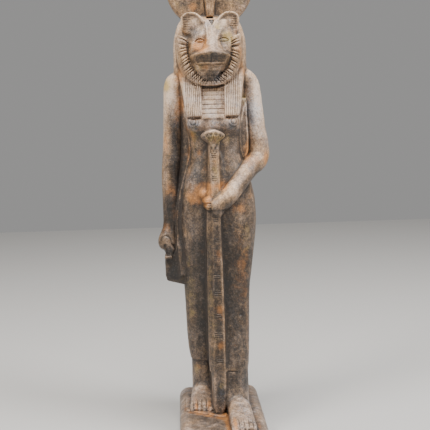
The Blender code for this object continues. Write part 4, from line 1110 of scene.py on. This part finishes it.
def carve(obj):
    mesh = obj.data
    co, normal = readMesh(mesh)
    x, f, z = gridOf(co)
    ahead = ease(-normal[:, 1], -0.05, 0.35)
    move = sum(cut(x, f, z, ahead)
               for cut in (reliefForward, faceRelief, earRelief, ruffRelief, strokeRelief))
    co[:, 1] -= move * grid["part"]
    co[:, 2] += footRelief(x, f, z) * grid["part"]
    dig = toeRelief(x, f, z)
    for px, pf, pz, radius, depth in pits:
        d2 = (x - px) ** 2 + (z - pz) ** 2
        dig -= depth * np.exp(-d2 / radius ** 2) * (ahead > 0.3) * (np.abs(f - pf) < 14)
    co += normal * (dig * grid["part"])[:, None]
    mesh.vertices.foreach_set("co", co.ravel())
    mesh.update()


carve(statue)
print("relief carved")

unevenness = [  # name, size and height of the waves
    ("handCarvedWaves", 0.016, 0.00045), ("chiselDimples", 0.004, 0.00018),
]


def roughen(obj):
    for name, size, height in unevenness:
        texture = bpy.data.textures.new(name, "CLOUDS")
        texture.noise_scale = size
        texture.noise_depth = 2
        applyModifier(obj, "DISPLACE", texture=texture, texture_coords="LOCAL",
                      strength=height, mid_level=0.5)


roughen(statue)


def lighten(obj):
    # Fewer triangles where the surface is plain.
    triangles = sum(len(p.vertices) - 2 for p in obj.data.polygons)
    applyModifier(obj, "DECIMATE", ratio=min(1.0, carving["triangles"] / triangles))
    activate(obj)
    bpy.ops.object.shade_smooth()


lighten(statue)
print("triangles:", sum(len(p.vertices) - 2 for p in statue.data.polygons))


# What the stone's colour follows: hollows, upward faces, tone with some painted light and shade,
# and stains
paint = {
    # layer of hollows and edges: name, rounds of smoothing, height that counts as 1
    "hollows": [("fineRelief", 4, 0.00012), ("broadRelief", 40, 0.0007)],
    # z, how light the stone is there: lighter on the head and chest, darker on the dress, partly
    # the stone's own tone, partly painted shade where the light from above only grazes the dress
    "tone": [(-26, 0.28), (-1, 0.30), (8, 0.42), (16, 0.38), (30, 0.25), (44, 0.15), (60, 0.12),
             (100, 0.09), (150, 0.09), (180, 0.15), (205, 0.23), (225, 0.28), (250, 0.33),
             (275, 0.42), (292, 0.58), (304, 0.76), (330, 0.76), (345, 0.56), (370, 0.62),
             (392, 0.58), (402, 0.42), (430, 0.37), (480, 0.37)],
    # z, how tan the stone is there: 1 is tan, 0 is grey, below 0 it is slate
    "warm": [(-26, 0.18), (-1, 0.20), (10, 0.20), (24, 0.38), (60, 0.52), (150, 0.52), (200, 0.50),
             (250, 0.50), (285, 0.36), (300, 0.26), (330, 0.34), (370, 0.42), (396, 0.60),
             (404, 0.90), (480, 0.90)],
    # x, z, half width, half height, amount, least and most forward
    "warmPatches": [
        (-39.5, 284, 4, 26, -0.80, -9), (-40, 240, 4, 18, -0.50, -9),
        (-20, 290, 9, 7, -0.60, 12), (19, 287, 11, 7, -0.60, 12),
        (4, 291, 9, 5, -0.40, 12), (-20, 236, 7, 16, -0.55, 10),
        (39, 296, 5, 22, -0.60, -9), (20, 268, 8, 14, -0.25, 12),
        (-46, 208, 6, 12, -0.25, -9), (0, 390, 6, 6, -0.70, 18),
        (1.5, 355, 4, 5, -0.40, 34), (6, 339, 7, 6, -0.45, 26),
        (0, 354, 17, 6, 0.30, 30), (24, 238, 10, 9, -0.30, 14),
        (30, 425, 9, 22, -0.25, 0), (20, 150, 12, 26, 0.15, 14),
        (-13, 353, 7, 5, 0.70, 30), (13, 353, 7, 5, 0.60, 30),
        (0, 368, 5, 9, -0.30, 30), (-13, 381, 6, 5, -0.50, 18),
        (38, 330, 10, 12, 0.25, -9), (-25, 360, 8, 20, 0.30, 10),
        (24, 360, 8, 20, 0.25, 10), (-14, 391, 7, 6, 0.20, 14),
        (30, 10, 10, 8, -0.20, 0),
        (-1, 22, 4, 12, -0.60, 40), (22, 28, 8, 10, -0.40, 20),
        (20, 150, 12, 30, 0.12, 14), (-22, 188, 8, 14, -0.25, 10),
        (34, 424, 6, 12, -0.70, 0), (-48, 145, 10, 14, -0.15, -9),
        (-33, 352, 6, 22, 0.40, -9), (31, 352, 6, 22, 0.40, -9),
        (46, 300, 8, 26, -0.30, -9), (-42, 292, 8, 30, 0.25, -9),
        (-47, 240, 8, 26, 0.30, -9), (48, 258, 8, 10, 0.40, -9),
        (-38, 334, 8, 8, 0.30, -9), (20, 215, 14, 10, 0.25, 10),
        (2, 220, 12, 10, 0.40, 30), (-1, 110, 5, 90, 0.35, 36),
        (0, 345, 14, 8, 0.25, 28), (-16, 366, 8, 9, 0.40, 22),
        (0, 250, 24, 16, 0.15, 12),
    ],
    "patches": [
        (-12, 352, 5, 4, 0.10, 34), (14, 352, 5, 4, 0.10, 34),
        (-39, 280, 4, 26, -0.16, -9), (-20, 290, 9, 6, -0.24, 12),
        (19, 288, 10, 6, -0.24, 12), (-20, 236, 7, 14, -0.10, 10),
        (-40, 262, 6, 52, -0.30, -9), (-51, 250, 3, 70, 0.14, -9),
        (-47, 205, 6, 22, -0.10, -9), (46, 300, 9, 44, 0.14, -9),
        # second: painted shade on the left arm's inner side
        (-45, 330, 9, 18, 0.22, -9), (37, 304, 4, 14, -0.16, -9),
        (46, 256, 9, 12, 0.20, -9), (30, 242, 10, 10, 0.16, 6),
        (12, 224, 11, 9, 0.24, 24), (-48, 143, 9, 18, -0.14, -9),
        (-50, 172, 7, 9, 0.10, 0), (-0.5, 283, 10, 2.6, 0.16, 38),
        (-28, 360, 6, 22, -0.10, 10), (25, 360, 6, 22, -0.10, 10),
        (39, 330, 9, 14, -0.12, -9), (18, 85, 12, 24, -0.07, 14),
        (20, 150, 12, 24, -0.10, 14), (-18, 33, 9, 11, 0.07, 2),
        (-48, 200, 7, 20, -0.12, -9), (-9, 222, 8, 6, 0.04, 18),
        (0, 292, 9, 5, 0.10, 18), (-14, 391, 7, 6, 0.16, 14),
        (14, 391, 7, 6, 0.12, 14), (0, 380, 6, 12, -0.04, 28),
        # first: painted shade towards the left forearm's underside
        (28, 238, 10, 9, -0.10, 6), (17, 20, 11, 12, -0.03, 30),
        # first: painted highlight along the lit edge of the lip; second: painted light lifting the
        # shadow between the jaw and the ruff
        (0, 349.3, 15, 0.9, 0.16, 34), (17.5, 350, 4, 11, 0.14, 16),
        (9, 338, 5, 5, 0.12, 20), (-11.2, 372.4, 4.8, 2, -0.42, 24),
        (12, 373, 4.8, 2, -0.36, 24), (-21, 286, 9, 7, -0.09, 12),
        (21, 286, 10, 7, -0.11, 12), (-22, 378, 7, 5, -0.10, 12),
        (-17, 392, 8, 7, 0.10, 10), (18, 392, 8, 7, 0.10, 10),
        (0, 363, 8, 4, -0.08, 38), (-13, 224, 9, 9, 0.14, 8),
        (-9.6, 210.5, 4.5, 6, -0.10, 28), (16, 210, 10, 6, -0.12, 20),
        # painted shade along the left forearm's lower edge and under the elbow
        (31, 225, 8, 7, -0.14, 4), (42, 240, 7, 7, -0.10, -2),
        (33, 352, 6, 22, -0.08, -9), (40, 326, 9, 14, -0.06, -9),
        (-51, 172, 7, 7, -0.10, 0),
        # painted highlights along the left forearm's upper edge
        (22, 237, 5, 5, 0.10, 12), (31, 246, 5, 5, 0.10, 6),
        # first: painted shade on the left arm's inner side
        (38, 312, 4.5, 14, -0.14, -9), (36, 331, 6, 7, -0.07, -9),
        # first: painted shadow on the ruff under the chin; second: painted shade in the hollow
        # between the left eye and the ruff
        (-1, 333, 14, 3.5, -0.18, 20), (-19, 372, 4, 8, -0.14, 20),
        (-14, 160, 9, 34, -0.03, 10),
        (20, 45, 10, 12, -0.04, 10), (32, 425, 10, 22, -0.08, 0),
        (-47, 206, 7, 16, -0.08, -9), (0, 319, 28, 17, 0.06, 18),
        (-15, 392, 8, 7, 0.06, 10),
        (-13, 381, 5, 4, -0.12, 20), (0.8, 390.2, 4, 3.6, -0.22, 18),
        (-11, 372.4, 6, 2.4, -0.12, 24), (12, 373, 6, 2.4, -0.12, 24),
        (-42, 300, 9, 30, -0.12, -9), (-45, 235, 9, 28, -0.06, -9),
        (0, 130, 34, 40, -0.06, 10), (18, 34, 12, 14, -0.12, 20),
        # second: painted shadow under the bar of the loop in the right fist
        (-40, 168, 3, 16, 0.16, 8), (-49, 151, 6, 2.4, -0.30, 0),
        # first: painted light on the top of that bar
        (-49.6, 157.4, 5, 1.6, 0.20, 0), (12, 348, 6, 3, -0.10, 30),
        (20, 205, 9, 12, 0.12, 10), (-20, 306, 9, 22, 0.06, 18),
        (-14, 165, 9, 34, -0.10, 10), (14, 196, 4, 18, -0.18, 20),
        (-1, 18, 5, 14, -0.20, 44), (32, 284, 4, 26, 0.12, 8),
        (-20, 283, 9, 6, -0.10, 14), (22, 283, 9, 6, -0.10, 14),
        # painted shade in the hollows between the cheeks and the ruff
        (-20.5, 361, 6, 16, -0.20, 12, 29), (18.5, 361, 6, 14, -0.18, 12, 29),
        # first: painted shadow under the ruff's lower edge
        (0, 327.5, 14, 2.6, -0.40, 8, 23), (-0.5, 277.6, 9, 2.8, -0.30, 30),
        # second: painted shade on the right arm's inner side
        (12.5, 380, 5, 3, -0.22, 20), (-36, 250, 3.4, 50, -0.16, -9, 8),
        (0, 214, 7, 7, 0.14, 40), (10, 208, 8, 7, -0.10, 30),
        (0, 240, 6, 30, 0.10, 30), (-9.5, 120, 3, 100, 0.12, 16),
        (4.2, 120, 1.2, 110, 0.30, 36), (0, 302, 12, 12, 0.06, 20),
        # first: painted shade on the right arm's inner side
        (-33, 300, 4, 22, -0.22, -9, 12), (-30, 180, 6, 50, 0.06, 0),
        (0, 418, 5, 18, 0.16, 5), (-10.4, 365, 6, 6, 0.02, 30),
    ],
    # as the patches, but with firm edges
    "blocks": [(0, 354.5, 20.5, 5.8, -0.42, 28), (-0.5, 340, 13, 7.4, -0.24, 22),
               (2, 338, 8, 5, -0.14, 24)],
    "rust": [
        (-11.2, 367.8, 6.8, 7, 1.35, 24), (-17, 409, 5.5, 4.5, 0.9, 0),
        (-49, 271, 3.6, 9, 0.65, -9), (-48.5, 224, 4.2, 9, 0.55, -9),
        (-20, 216, 8.5, 5.5, 0.95, 16), (-10, 226, 5.5, 6, 0.85, 20),
        (6, 229, 6.5, 3.4, 0.9, 20), (24, 205, 8.5, 5, 0.75, 10),
        (26, 145, 8, 40, 0.45, 0), (1, 160, 3.2, 7, 0.75, 38),
        (0.5, 105, 4, 4.5, 0.8, 38), (0, 70, 3.6, 4.5, 0.85, 38),
        (-26, 5, 2, 4, 0.7, 22, 46), (-13, 5, 2, 4, 0.7, 22, 46),
        (10, 5, 2.2, 4, 0.7, 80, 106), (34, 262, 3.5, 8, 0.7, 6),
        (53, 254, 3.2, 9, 0.6, -9), (-26, 262, 2.4, 44, 0.35, 4),
        (-17, 262, 5, 4, 0.75, 16), (-30.5, 366, 4.5, 12, 0.28, 14),
        (-31, 340, 6, 10, 0.55, 8), (31, 345, 5, 14, 0.45, 8),
        (-31.5, 306, 2.4, 14, 0.7, -9, 14), (-22, 276, 5, 8, 0.55, 14),
        (-42, 214, 3, 16, 0.45, 2), (36, 270, 3.5, 14, 0.4, 4),
        (33, 216, 6, 8, 0.45, 4), (-8, 345, 6, 3, 0.5, 28),
        (0, 260, 3, 26, 0.35, 32), (40, 252, 10, 5, 0.35, -9),
        (27.5, 364, 4, 6, 0.45, 14), (-37, 305, 2.6, 18, 0.35, -9),
        (-22, 38, 5, 4, 0.45, 2), (-50, 186, 5, 5, 0.5, -9),
        (14, 305, 7, 16, 0.22, 20), (28, 70, 4, 36, 0.22, 0),
        (-12, 223, 9, 8, 1.05, 8), (-9.6, 211, 4.5, 6, 0.70, 26),
        (8, 227, 7, 3.5, 0.45, 24),
    ],
    # on the plinth's top: x, forward, half width, half length, amount
    "floorRust": [
        (-30, 39.5, 5, 3.6, 1), (-22, 45, 6, 4, 1), (-13, 51, 6, 5, 1),
        (-3, 58, 6, 6, 1.1), (3.4, 60, 3.4, 22, 1.1), (4.4, 88, 2.6, 16, 1.1),
        (33, 84, 3, 16, 0.5), (-37, 24, 3, 12, 0.4), (20, 106, 9, 2.5, 0.5),
    ],
    "floorTone": [
        (-20, 62, 18, 12, -0.10), (-28, 90, 16, 10, 0.06),
        (-5, 84, 8, 12, 0.08), (36, 50, 5, 30, -0.02),
    ],
    "ochre": [
        (6, 386, 5, 4, 0.6, 18), (17.5, 377, 5, 6, 0.8, 18),
        (-9, 384, 3, 6, 0.4, 18), (-46, 331, 5, 9, 0.95, -9),
        (32.5, 316, 3.2, 7, 0.75, -9),
        (15, 374, 6, 7, 0.7, 24), (-20, 279, 6, 9, 0.7, 14),
        (0, 276, 10, 7, 0.6, 28), (14, 276, 5, 6, 0.45, 18),
        (-28, 120, 6, 40, 0.35, 0), (-25, 96, 5, 3.5, 0.5, 0),
        (-24, 36, 4.5, 5, 0.6, 0), (-9, 120, 4, 70, 0.25, 10),
        (-12, 220, 3.4, 5.5, 0.7, 40), (0, 246, 4, 14, 0.5, 30),
        (0, 30, 4.5, 6, 0.45, 38), (-30, 415, 8, 10, 0.35, 0),
        (27, 415, 9, 9, 0.35, 0), (-9, 208, 4.5, 3.5, 0.6, 38),
        (31, 170, 6, 26, 0.3, 4), (-14, 345, 6, 3, 0.5, 24),
    ],
}


def writeLayer(mesh, name, values):
    layer = mesh.attributes.new(name, "FLOAT", "POINT")
    layer.data.foreach_set("value", values.astype(np.float32))


def spread(x, f, z, patches, power=2):
    # Sum of the patches; a higher power gives them firmer edges.
    value = np.zeros_like(x)
    for px, pz, wide, high, amount, least, *most in patches:
        most = most[0] if most else 999
        shape = np.abs((x - px) / wide) ** power + np.abs((z - pz) / high) ** power
        value += amount * np.exp(-shape) * ease(f, least - 2, least + 2) \
            * (1 - ease(f, most - 3, most + 3))
    return value


def onTop(x, f, z, up, patches):
    # Patches that lie on the plinth's top alone.
    value = np.zeros_like(x)
    for px, pf, wide, long, amount in patches:
        value += amount * np.exp(-((x - px) / wide) ** 2 - ((f - pf) / long) ** 2)
    return value * (z < 1.4) * (z > -2) * ease(up, 0.3, 0.8)


def paintStone(obj):
    mesh = obj.data
    co, normal = readMesh(mesh)
    x, f, z = gridOf(co)
    edges, degree = meshEdges(mesh)
    for name, rounds, scale in paint["hollows"]:
        smooth = relax(co.copy(), edges, degree, rounds)
        height = ((co - smooth) * normal).sum(axis=1) / scale
        height = relax(height[:, None], edges, degree, 1)[:, 0]
        writeLayer(mesh, name, np.clip(height, -1, 1))
    # how much each point faces up; the stone is made paler there, partly pale dust on the tops,
    # partly painted light from above
    up = relax(normal[:, 2:].copy(), edges, degree, 3)[:, 0]
    writeLayer(mesh, "upward", up)
    levels = np.array(paint["tone"], float)
    tone = np.interp(z, levels[:, 0], levels[:, 1]) + spread(x, f, z, paint["patches"])
    tone += spread(x, f, z, paint["blocks"], 6)
    writeLayer(mesh, "tone", tone + onTop(x, f, z, up, paint["floorTone"]))
    levels = np.array(paint["warm"], float)
    warm = np.interp(z, levels[:, 0], levels[:, 1]) + spread(x, f, z, paint["warmPatches"])
    writeLayer(mesh, "warm", warm)
    rust = spread(x, f, z, paint["rust"]) + onTop(x, f, z, up, paint["floorRust"])
    writeLayer(mesh, "rust", np.clip(rust, 0, 1.2))
    writeLayer(mesh, "ochre", np.clip(spread(x, f, z, paint["ochre"]), 0, 1.2))


paintStone(statue)
print("stone painted")


# Stone
stone = {
    # how light the stone is, and its colour there
    "slate": [(0.00, (0.016, 0.0170, 0.0195)), (0.18, (0.040, 0.042, 0.048)),
              (0.38, (0.098, 0.098, 0.108)), (0.60, (0.240, 0.230, 0.238)),
              (0.80, (0.450, 0.415, 0.410)), (1.00, (0.720, 0.660, 0.630))],
    "grey": [(0.00, (0.020, 0.0175, 0.0165)), (0.18, (0.052, 0.042, 0.036)),
             (0.38, (0.132, 0.100, 0.080)), (0.60, (0.315, 0.228, 0.176)),
             (0.80, (0.560, 0.415, 0.325)), (1.00, (0.790, 0.630, 0.520))],
    "tan": [(0.00, (0.024, 0.0155, 0.0095)), (0.18, (0.060, 0.038, 0.022)),
            (0.38, (0.155, 0.098, 0.054)), (0.60, (0.340, 0.205, 0.105)),
            (0.80, (0.580, 0.370, 0.200)), (1.00, (0.780, 0.560, 0.360))],
    "rust": (0.72, 0.305, 0.090), "ochre": (0.56, 0.385, 0.125), "cutTint": (0.050, 0.035, 0.026),
    # flecks: colour; channel of the crystals, where they begin and end, most of them
    "flecks": [((0.60, 0.50, 0.41), 0, 0.80, 0.97, 0.05),
               ((0.016, 0.014, 0.014), 1, 0.74, 0.95, 0.28)],
    "crystals": 800, "tall": 0.3,
    # scale, detail, roughness, distortion
    "noises": {"clouds": (34, 3, 0.55, 0.5), "blotches": (95, 4, 0.6, 0.3),
               "mottles": (330, 4, 0.65, 0), "grain": (1000, 2, 0.6, 0),
               "warmClouds": (48, 3, 0.6, 0.8), "warmGrains": (620, 2, 0.6, 0),
               "stray": (40, 3, 0.6, 0), "ochrePatches": (150, 4, 0.65, 0.4),
               "rustPatches": (105, 4, 0.65, 0.4), "bumps": (420, 3, 0.6, 0)},
    # weather runs down the stone, so these patterns are longer than they are wide
    "tallNoises": {"streaks": (180, 3, 0.6, 0), "warmStreaks": (150, 3, 0.6, 0)},
    # what is summed for a value, and the weight of each
    "lightness": [("tone", 1), ("clouds", 0.45), ("blotches", 0.50), ("mottles", 0.70),
                  ("streaks", 0.50), ("grain", 0.75), ("fineRelief", 0.12),
                  # upward: paler on faces turned up, partly dust, partly painted light from above
                  ("broadRelief", 0.10), ("upward", 0.10)],
    "warmth": [("warm", 1), ("warmClouds", 1.9), ("warmStreaks", 1.2), ("warmGrains", 1.8)],
    "ochreSum": [("ochre", 1), ("ochrePatches", 1.3), ("grain", 0.4), ("stray", 0.7)],
    "rustSum": [("rust", 1), ("rustPatches", 1.3), ("grain", 0.4), ("stray", 0.7)],
    "bumpSum": [("grain", 1), ("bumps", 1.6)],
    "roughness": 0.49,
    "roughSum": [("mottles", 0.25), ("fineRelief", -0.06), ("upward", -0.05)],
}


class NodeSheet:
    # Short calls for building a shader tree.

    def __init__(self, tree):
        self.tree = tree

    def add(self, kind, inputs=(), **settings):
        node = self.tree.nodes.new(kind)
        for name, value in settings.items():
            setattr(node, name, value)
        for key, value in dict(inputs).items():
            self.put(node.inputs[key], value)
        return node

    def put(self, socket, value):
        if isinstance(value, bpy.types.NodeSocket):
            self.tree.links.new(value, socket)
        elif socket.type == "RGBA":
            socket.default_value = tuple(value) + (1.0,)
        else:
            socket.default_value = value

    def math(self, operation, a, b=0.0, clamp=False):
        return self.add("ShaderNodeMath", {0: a, 1: b}, operation=operation,
                        use_clamp=clamp).outputs[0]

    def total(self, values, shares):
        # The sum of the values times their weights.
        parts = [self.math("MULTIPLY", values[name], weight) for name, weight in shares]
        result = parts[0]
        for part in parts[1:]:
            result = self.math("ADD", result, part)
        return result

    def noise(self, vector, scale, detail, roughness, distortion):
        value = self.add("ShaderNodeTexNoise", {
            "Vector": vector, "Scale": scale, "Detail": detail, "Roughness": roughness,
            "Distortion": distortion}).outputs["Fac"]
        return self.math("SUBTRACT", value, 0.5)

    def remap(self, value, low, high, toLow=0.0, toHigh=1.0):
        return self.add("ShaderNodeMapRange", {
            "Value": value, "From Min": low, "From Max": high, "To Min": toLow,
            "To Max": toHigh}, interpolation_type="SMOOTHSTEP").outputs[0]

    def ramp(self, value, stops):
        # Colours by position; value picks one.
        node = self.add("ShaderNodeValToRGB", {"Fac": value})
        marks = node.color_ramp.elements
        marks[0].position, marks[1].position = stops[0][0], stops[-1][0]
        marks[0].color, marks[1].color = stops[0][1] + (1.0,), stops[-1][1] + (1.0,)
        for position, tint in stops[1:-1]:
            marks.new(position).color = tint + (1.0,)
        return node.outputs["Color"]

    def blend(self, amount, a, b, mode="MIX"):
        node = self.add("ShaderNodeMix", data_type="RGBA", blend_type=mode)
        for key, value in ((0, amount), (6, a), (7, b)):
            self.put(node.inputs[key], value)
        return node.outputs[2]


def graniteMaterial():
    material = bpy.data.materials.new("wornGranite")
    material.use_nodes = True
    tree = material.node_tree
    sheet = NodeSheet(tree)
    shader = tree.nodes["Principled BSDF"]
    where = sheet.add("ShaderNodeTexCoord").outputs["Object"]
    values = {name: sheet.add("ShaderNodeAttribute", attribute_name=name).outputs["Fac"]
              for name in ("fineRelief", "broadRelief", "upward", "tone", "warm", "rust",
                           "ochre")}
    tall = sheet.add("ShaderNodeMapping", {"Vector": where, "Scale": (1, 1, stone["tall"])})
    for vector, noises in ((where, "noises"), (tall.outputs[0], "tallNoises")):
        for name, settings in stone[noises].items():
            values[name] = sheet.noise(vector, *settings)
    level = sheet.total(values, stone["lightness"])
    # slate, grey and tan stone, mixed in clouds and grain by grain
    warm = sheet.total(values, stone["warmth"])
    color = sheet.blend(warm, sheet.ramp(level, stone["grey"]), sheet.ramp(level, stone["tan"]))
    cool = sheet.math("MULTIPLY", warm, -2.2, clamp=True)
    color = sheet.blend(cool, color, sheet.ramp(level, stone["slate"]))
    for name in ("ochre", "rust"):
        amount = sheet.total(values, stone[name + "Sum"])
        amount = sheet.remap(amount, 0.12, 0.92, 0.0, 0.84)
        tinted = sheet.blend(1.0, stone[name], sheet.remap(level, 0.0, 0.9, 0.34, 1.0), "MULTIPLY")
        color = sheet.blend(amount, color, tinted)
    # crystals: pale and dark flecks
    cells = sheet.add("ShaderNodeTexVoronoi", {"Vector": where, "Scale": stone["crystals"]})
    split = sheet.add("ShaderNodeSeparateColor", {"Color": cells.outputs["Color"]})
    for tint, channel, low, high, most in stone["flecks"]:
        fleck = sheet.remap(split.outputs[channel], low, high, 0.0, most)
        color = sheet.blend(fleck, color, tint)
    # darker brown in the cuts; raised edges are paler through the lightness
    deep = sheet.remap(values["fineRelief"], -0.2, -0.9, 0.0, 0.42)
    color = sheet.blend(deep, color, stone["cutTint"])
    tree.links.new(color, shader.inputs["Base Color"])
    rough = sheet.math("ADD", sheet.total(values, stone["roughSum"]), stone["roughness"])
    tree.links.new(rough, shader.inputs["Roughness"])
    bump = sheet.add("ShaderNodeBump", {"Strength": 0.45, "Distance": 0.0004,
                                        "Height": sheet.total(values, stone["bumpSum"])})
    tree.links.new(bump.outputs[0], shader.inputs["Normal"])
    return material


statue.data.materials.clear()
statue.data.materials.append(graniteMaterial())
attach(statue, "root")
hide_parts("goddess_statue")
print("stone made")


# Floor and studio light
studio = {
    "floorSize": 4.0, "floorColour": (0.62, 0.61, 0.59), "worldColour": (0.90, 0.89, 0.88),
    "worldStrength": 0.34, "floorRoughness": 0.9, "aim": (0.0, 0.0, 0.3),
    # name, place, size, power, colour
    "lamps": [("leftSoftbox", (-1.0, -0.7, 1.35), 0.7, 19.0, (1.0, 0.96, 0.91)),
              ("rightSoftbox", (1.05, -0.55, 1.3), 0.7, 22.0, (0.98, 0.98, 0.99)),
              ("topSoftbox", (0.0, -0.45, 1.7), 0.8, 23.0, (1.0, 0.97, 0.94))],
}


def addFloor():
    deselectAll()
    bpy.ops.mesh.primitive_plane_add(size=studio["floorSize"], location=(0, 0, 0))
    floor = bpy.context.object
    floor.name = "studioFloor"
    material = bpy.data.materials.new("paleFloor")
    material.use_nodes = True
    shader = material.node_tree.nodes["Principled BSDF"]
    shader.inputs["Base Color"].default_value = studio["floorColour"] + (1.0,)
    shader.inputs["Roughness"].default_value = studio["floorRoughness"]
    floor.data.materials.append(material)


def addLight():
    world = bpy.data.worlds.new("studioWorld")
    world.use_nodes = True
    back = world.node_tree.nodes["Background"]
    back.inputs["Color"].default_value = studio["worldColour"] + (1.0,)
    back.inputs["Strength"].default_value = studio["worldStrength"]
    bpy.context.scene.world = world
    for name, spot, size, power, colour in studio["lamps"]:
        data = bpy.data.lights.new(name, "AREA")
        data.shape = "DISK"
        data.size = size
        data.energy = power
        data.color = colour
        lamp = bpy.data.objects.new(name, data)
        lamp.location = spot
        way = Vector(studio["aim"]) - Vector(spot)
        lamp.rotation_euler = way.to_track_quat("-Z", "Y").to_euler()
        bpy.context.scene.collection.objects.link(lamp)


addFloor()
addLight()
print("floor and light added")
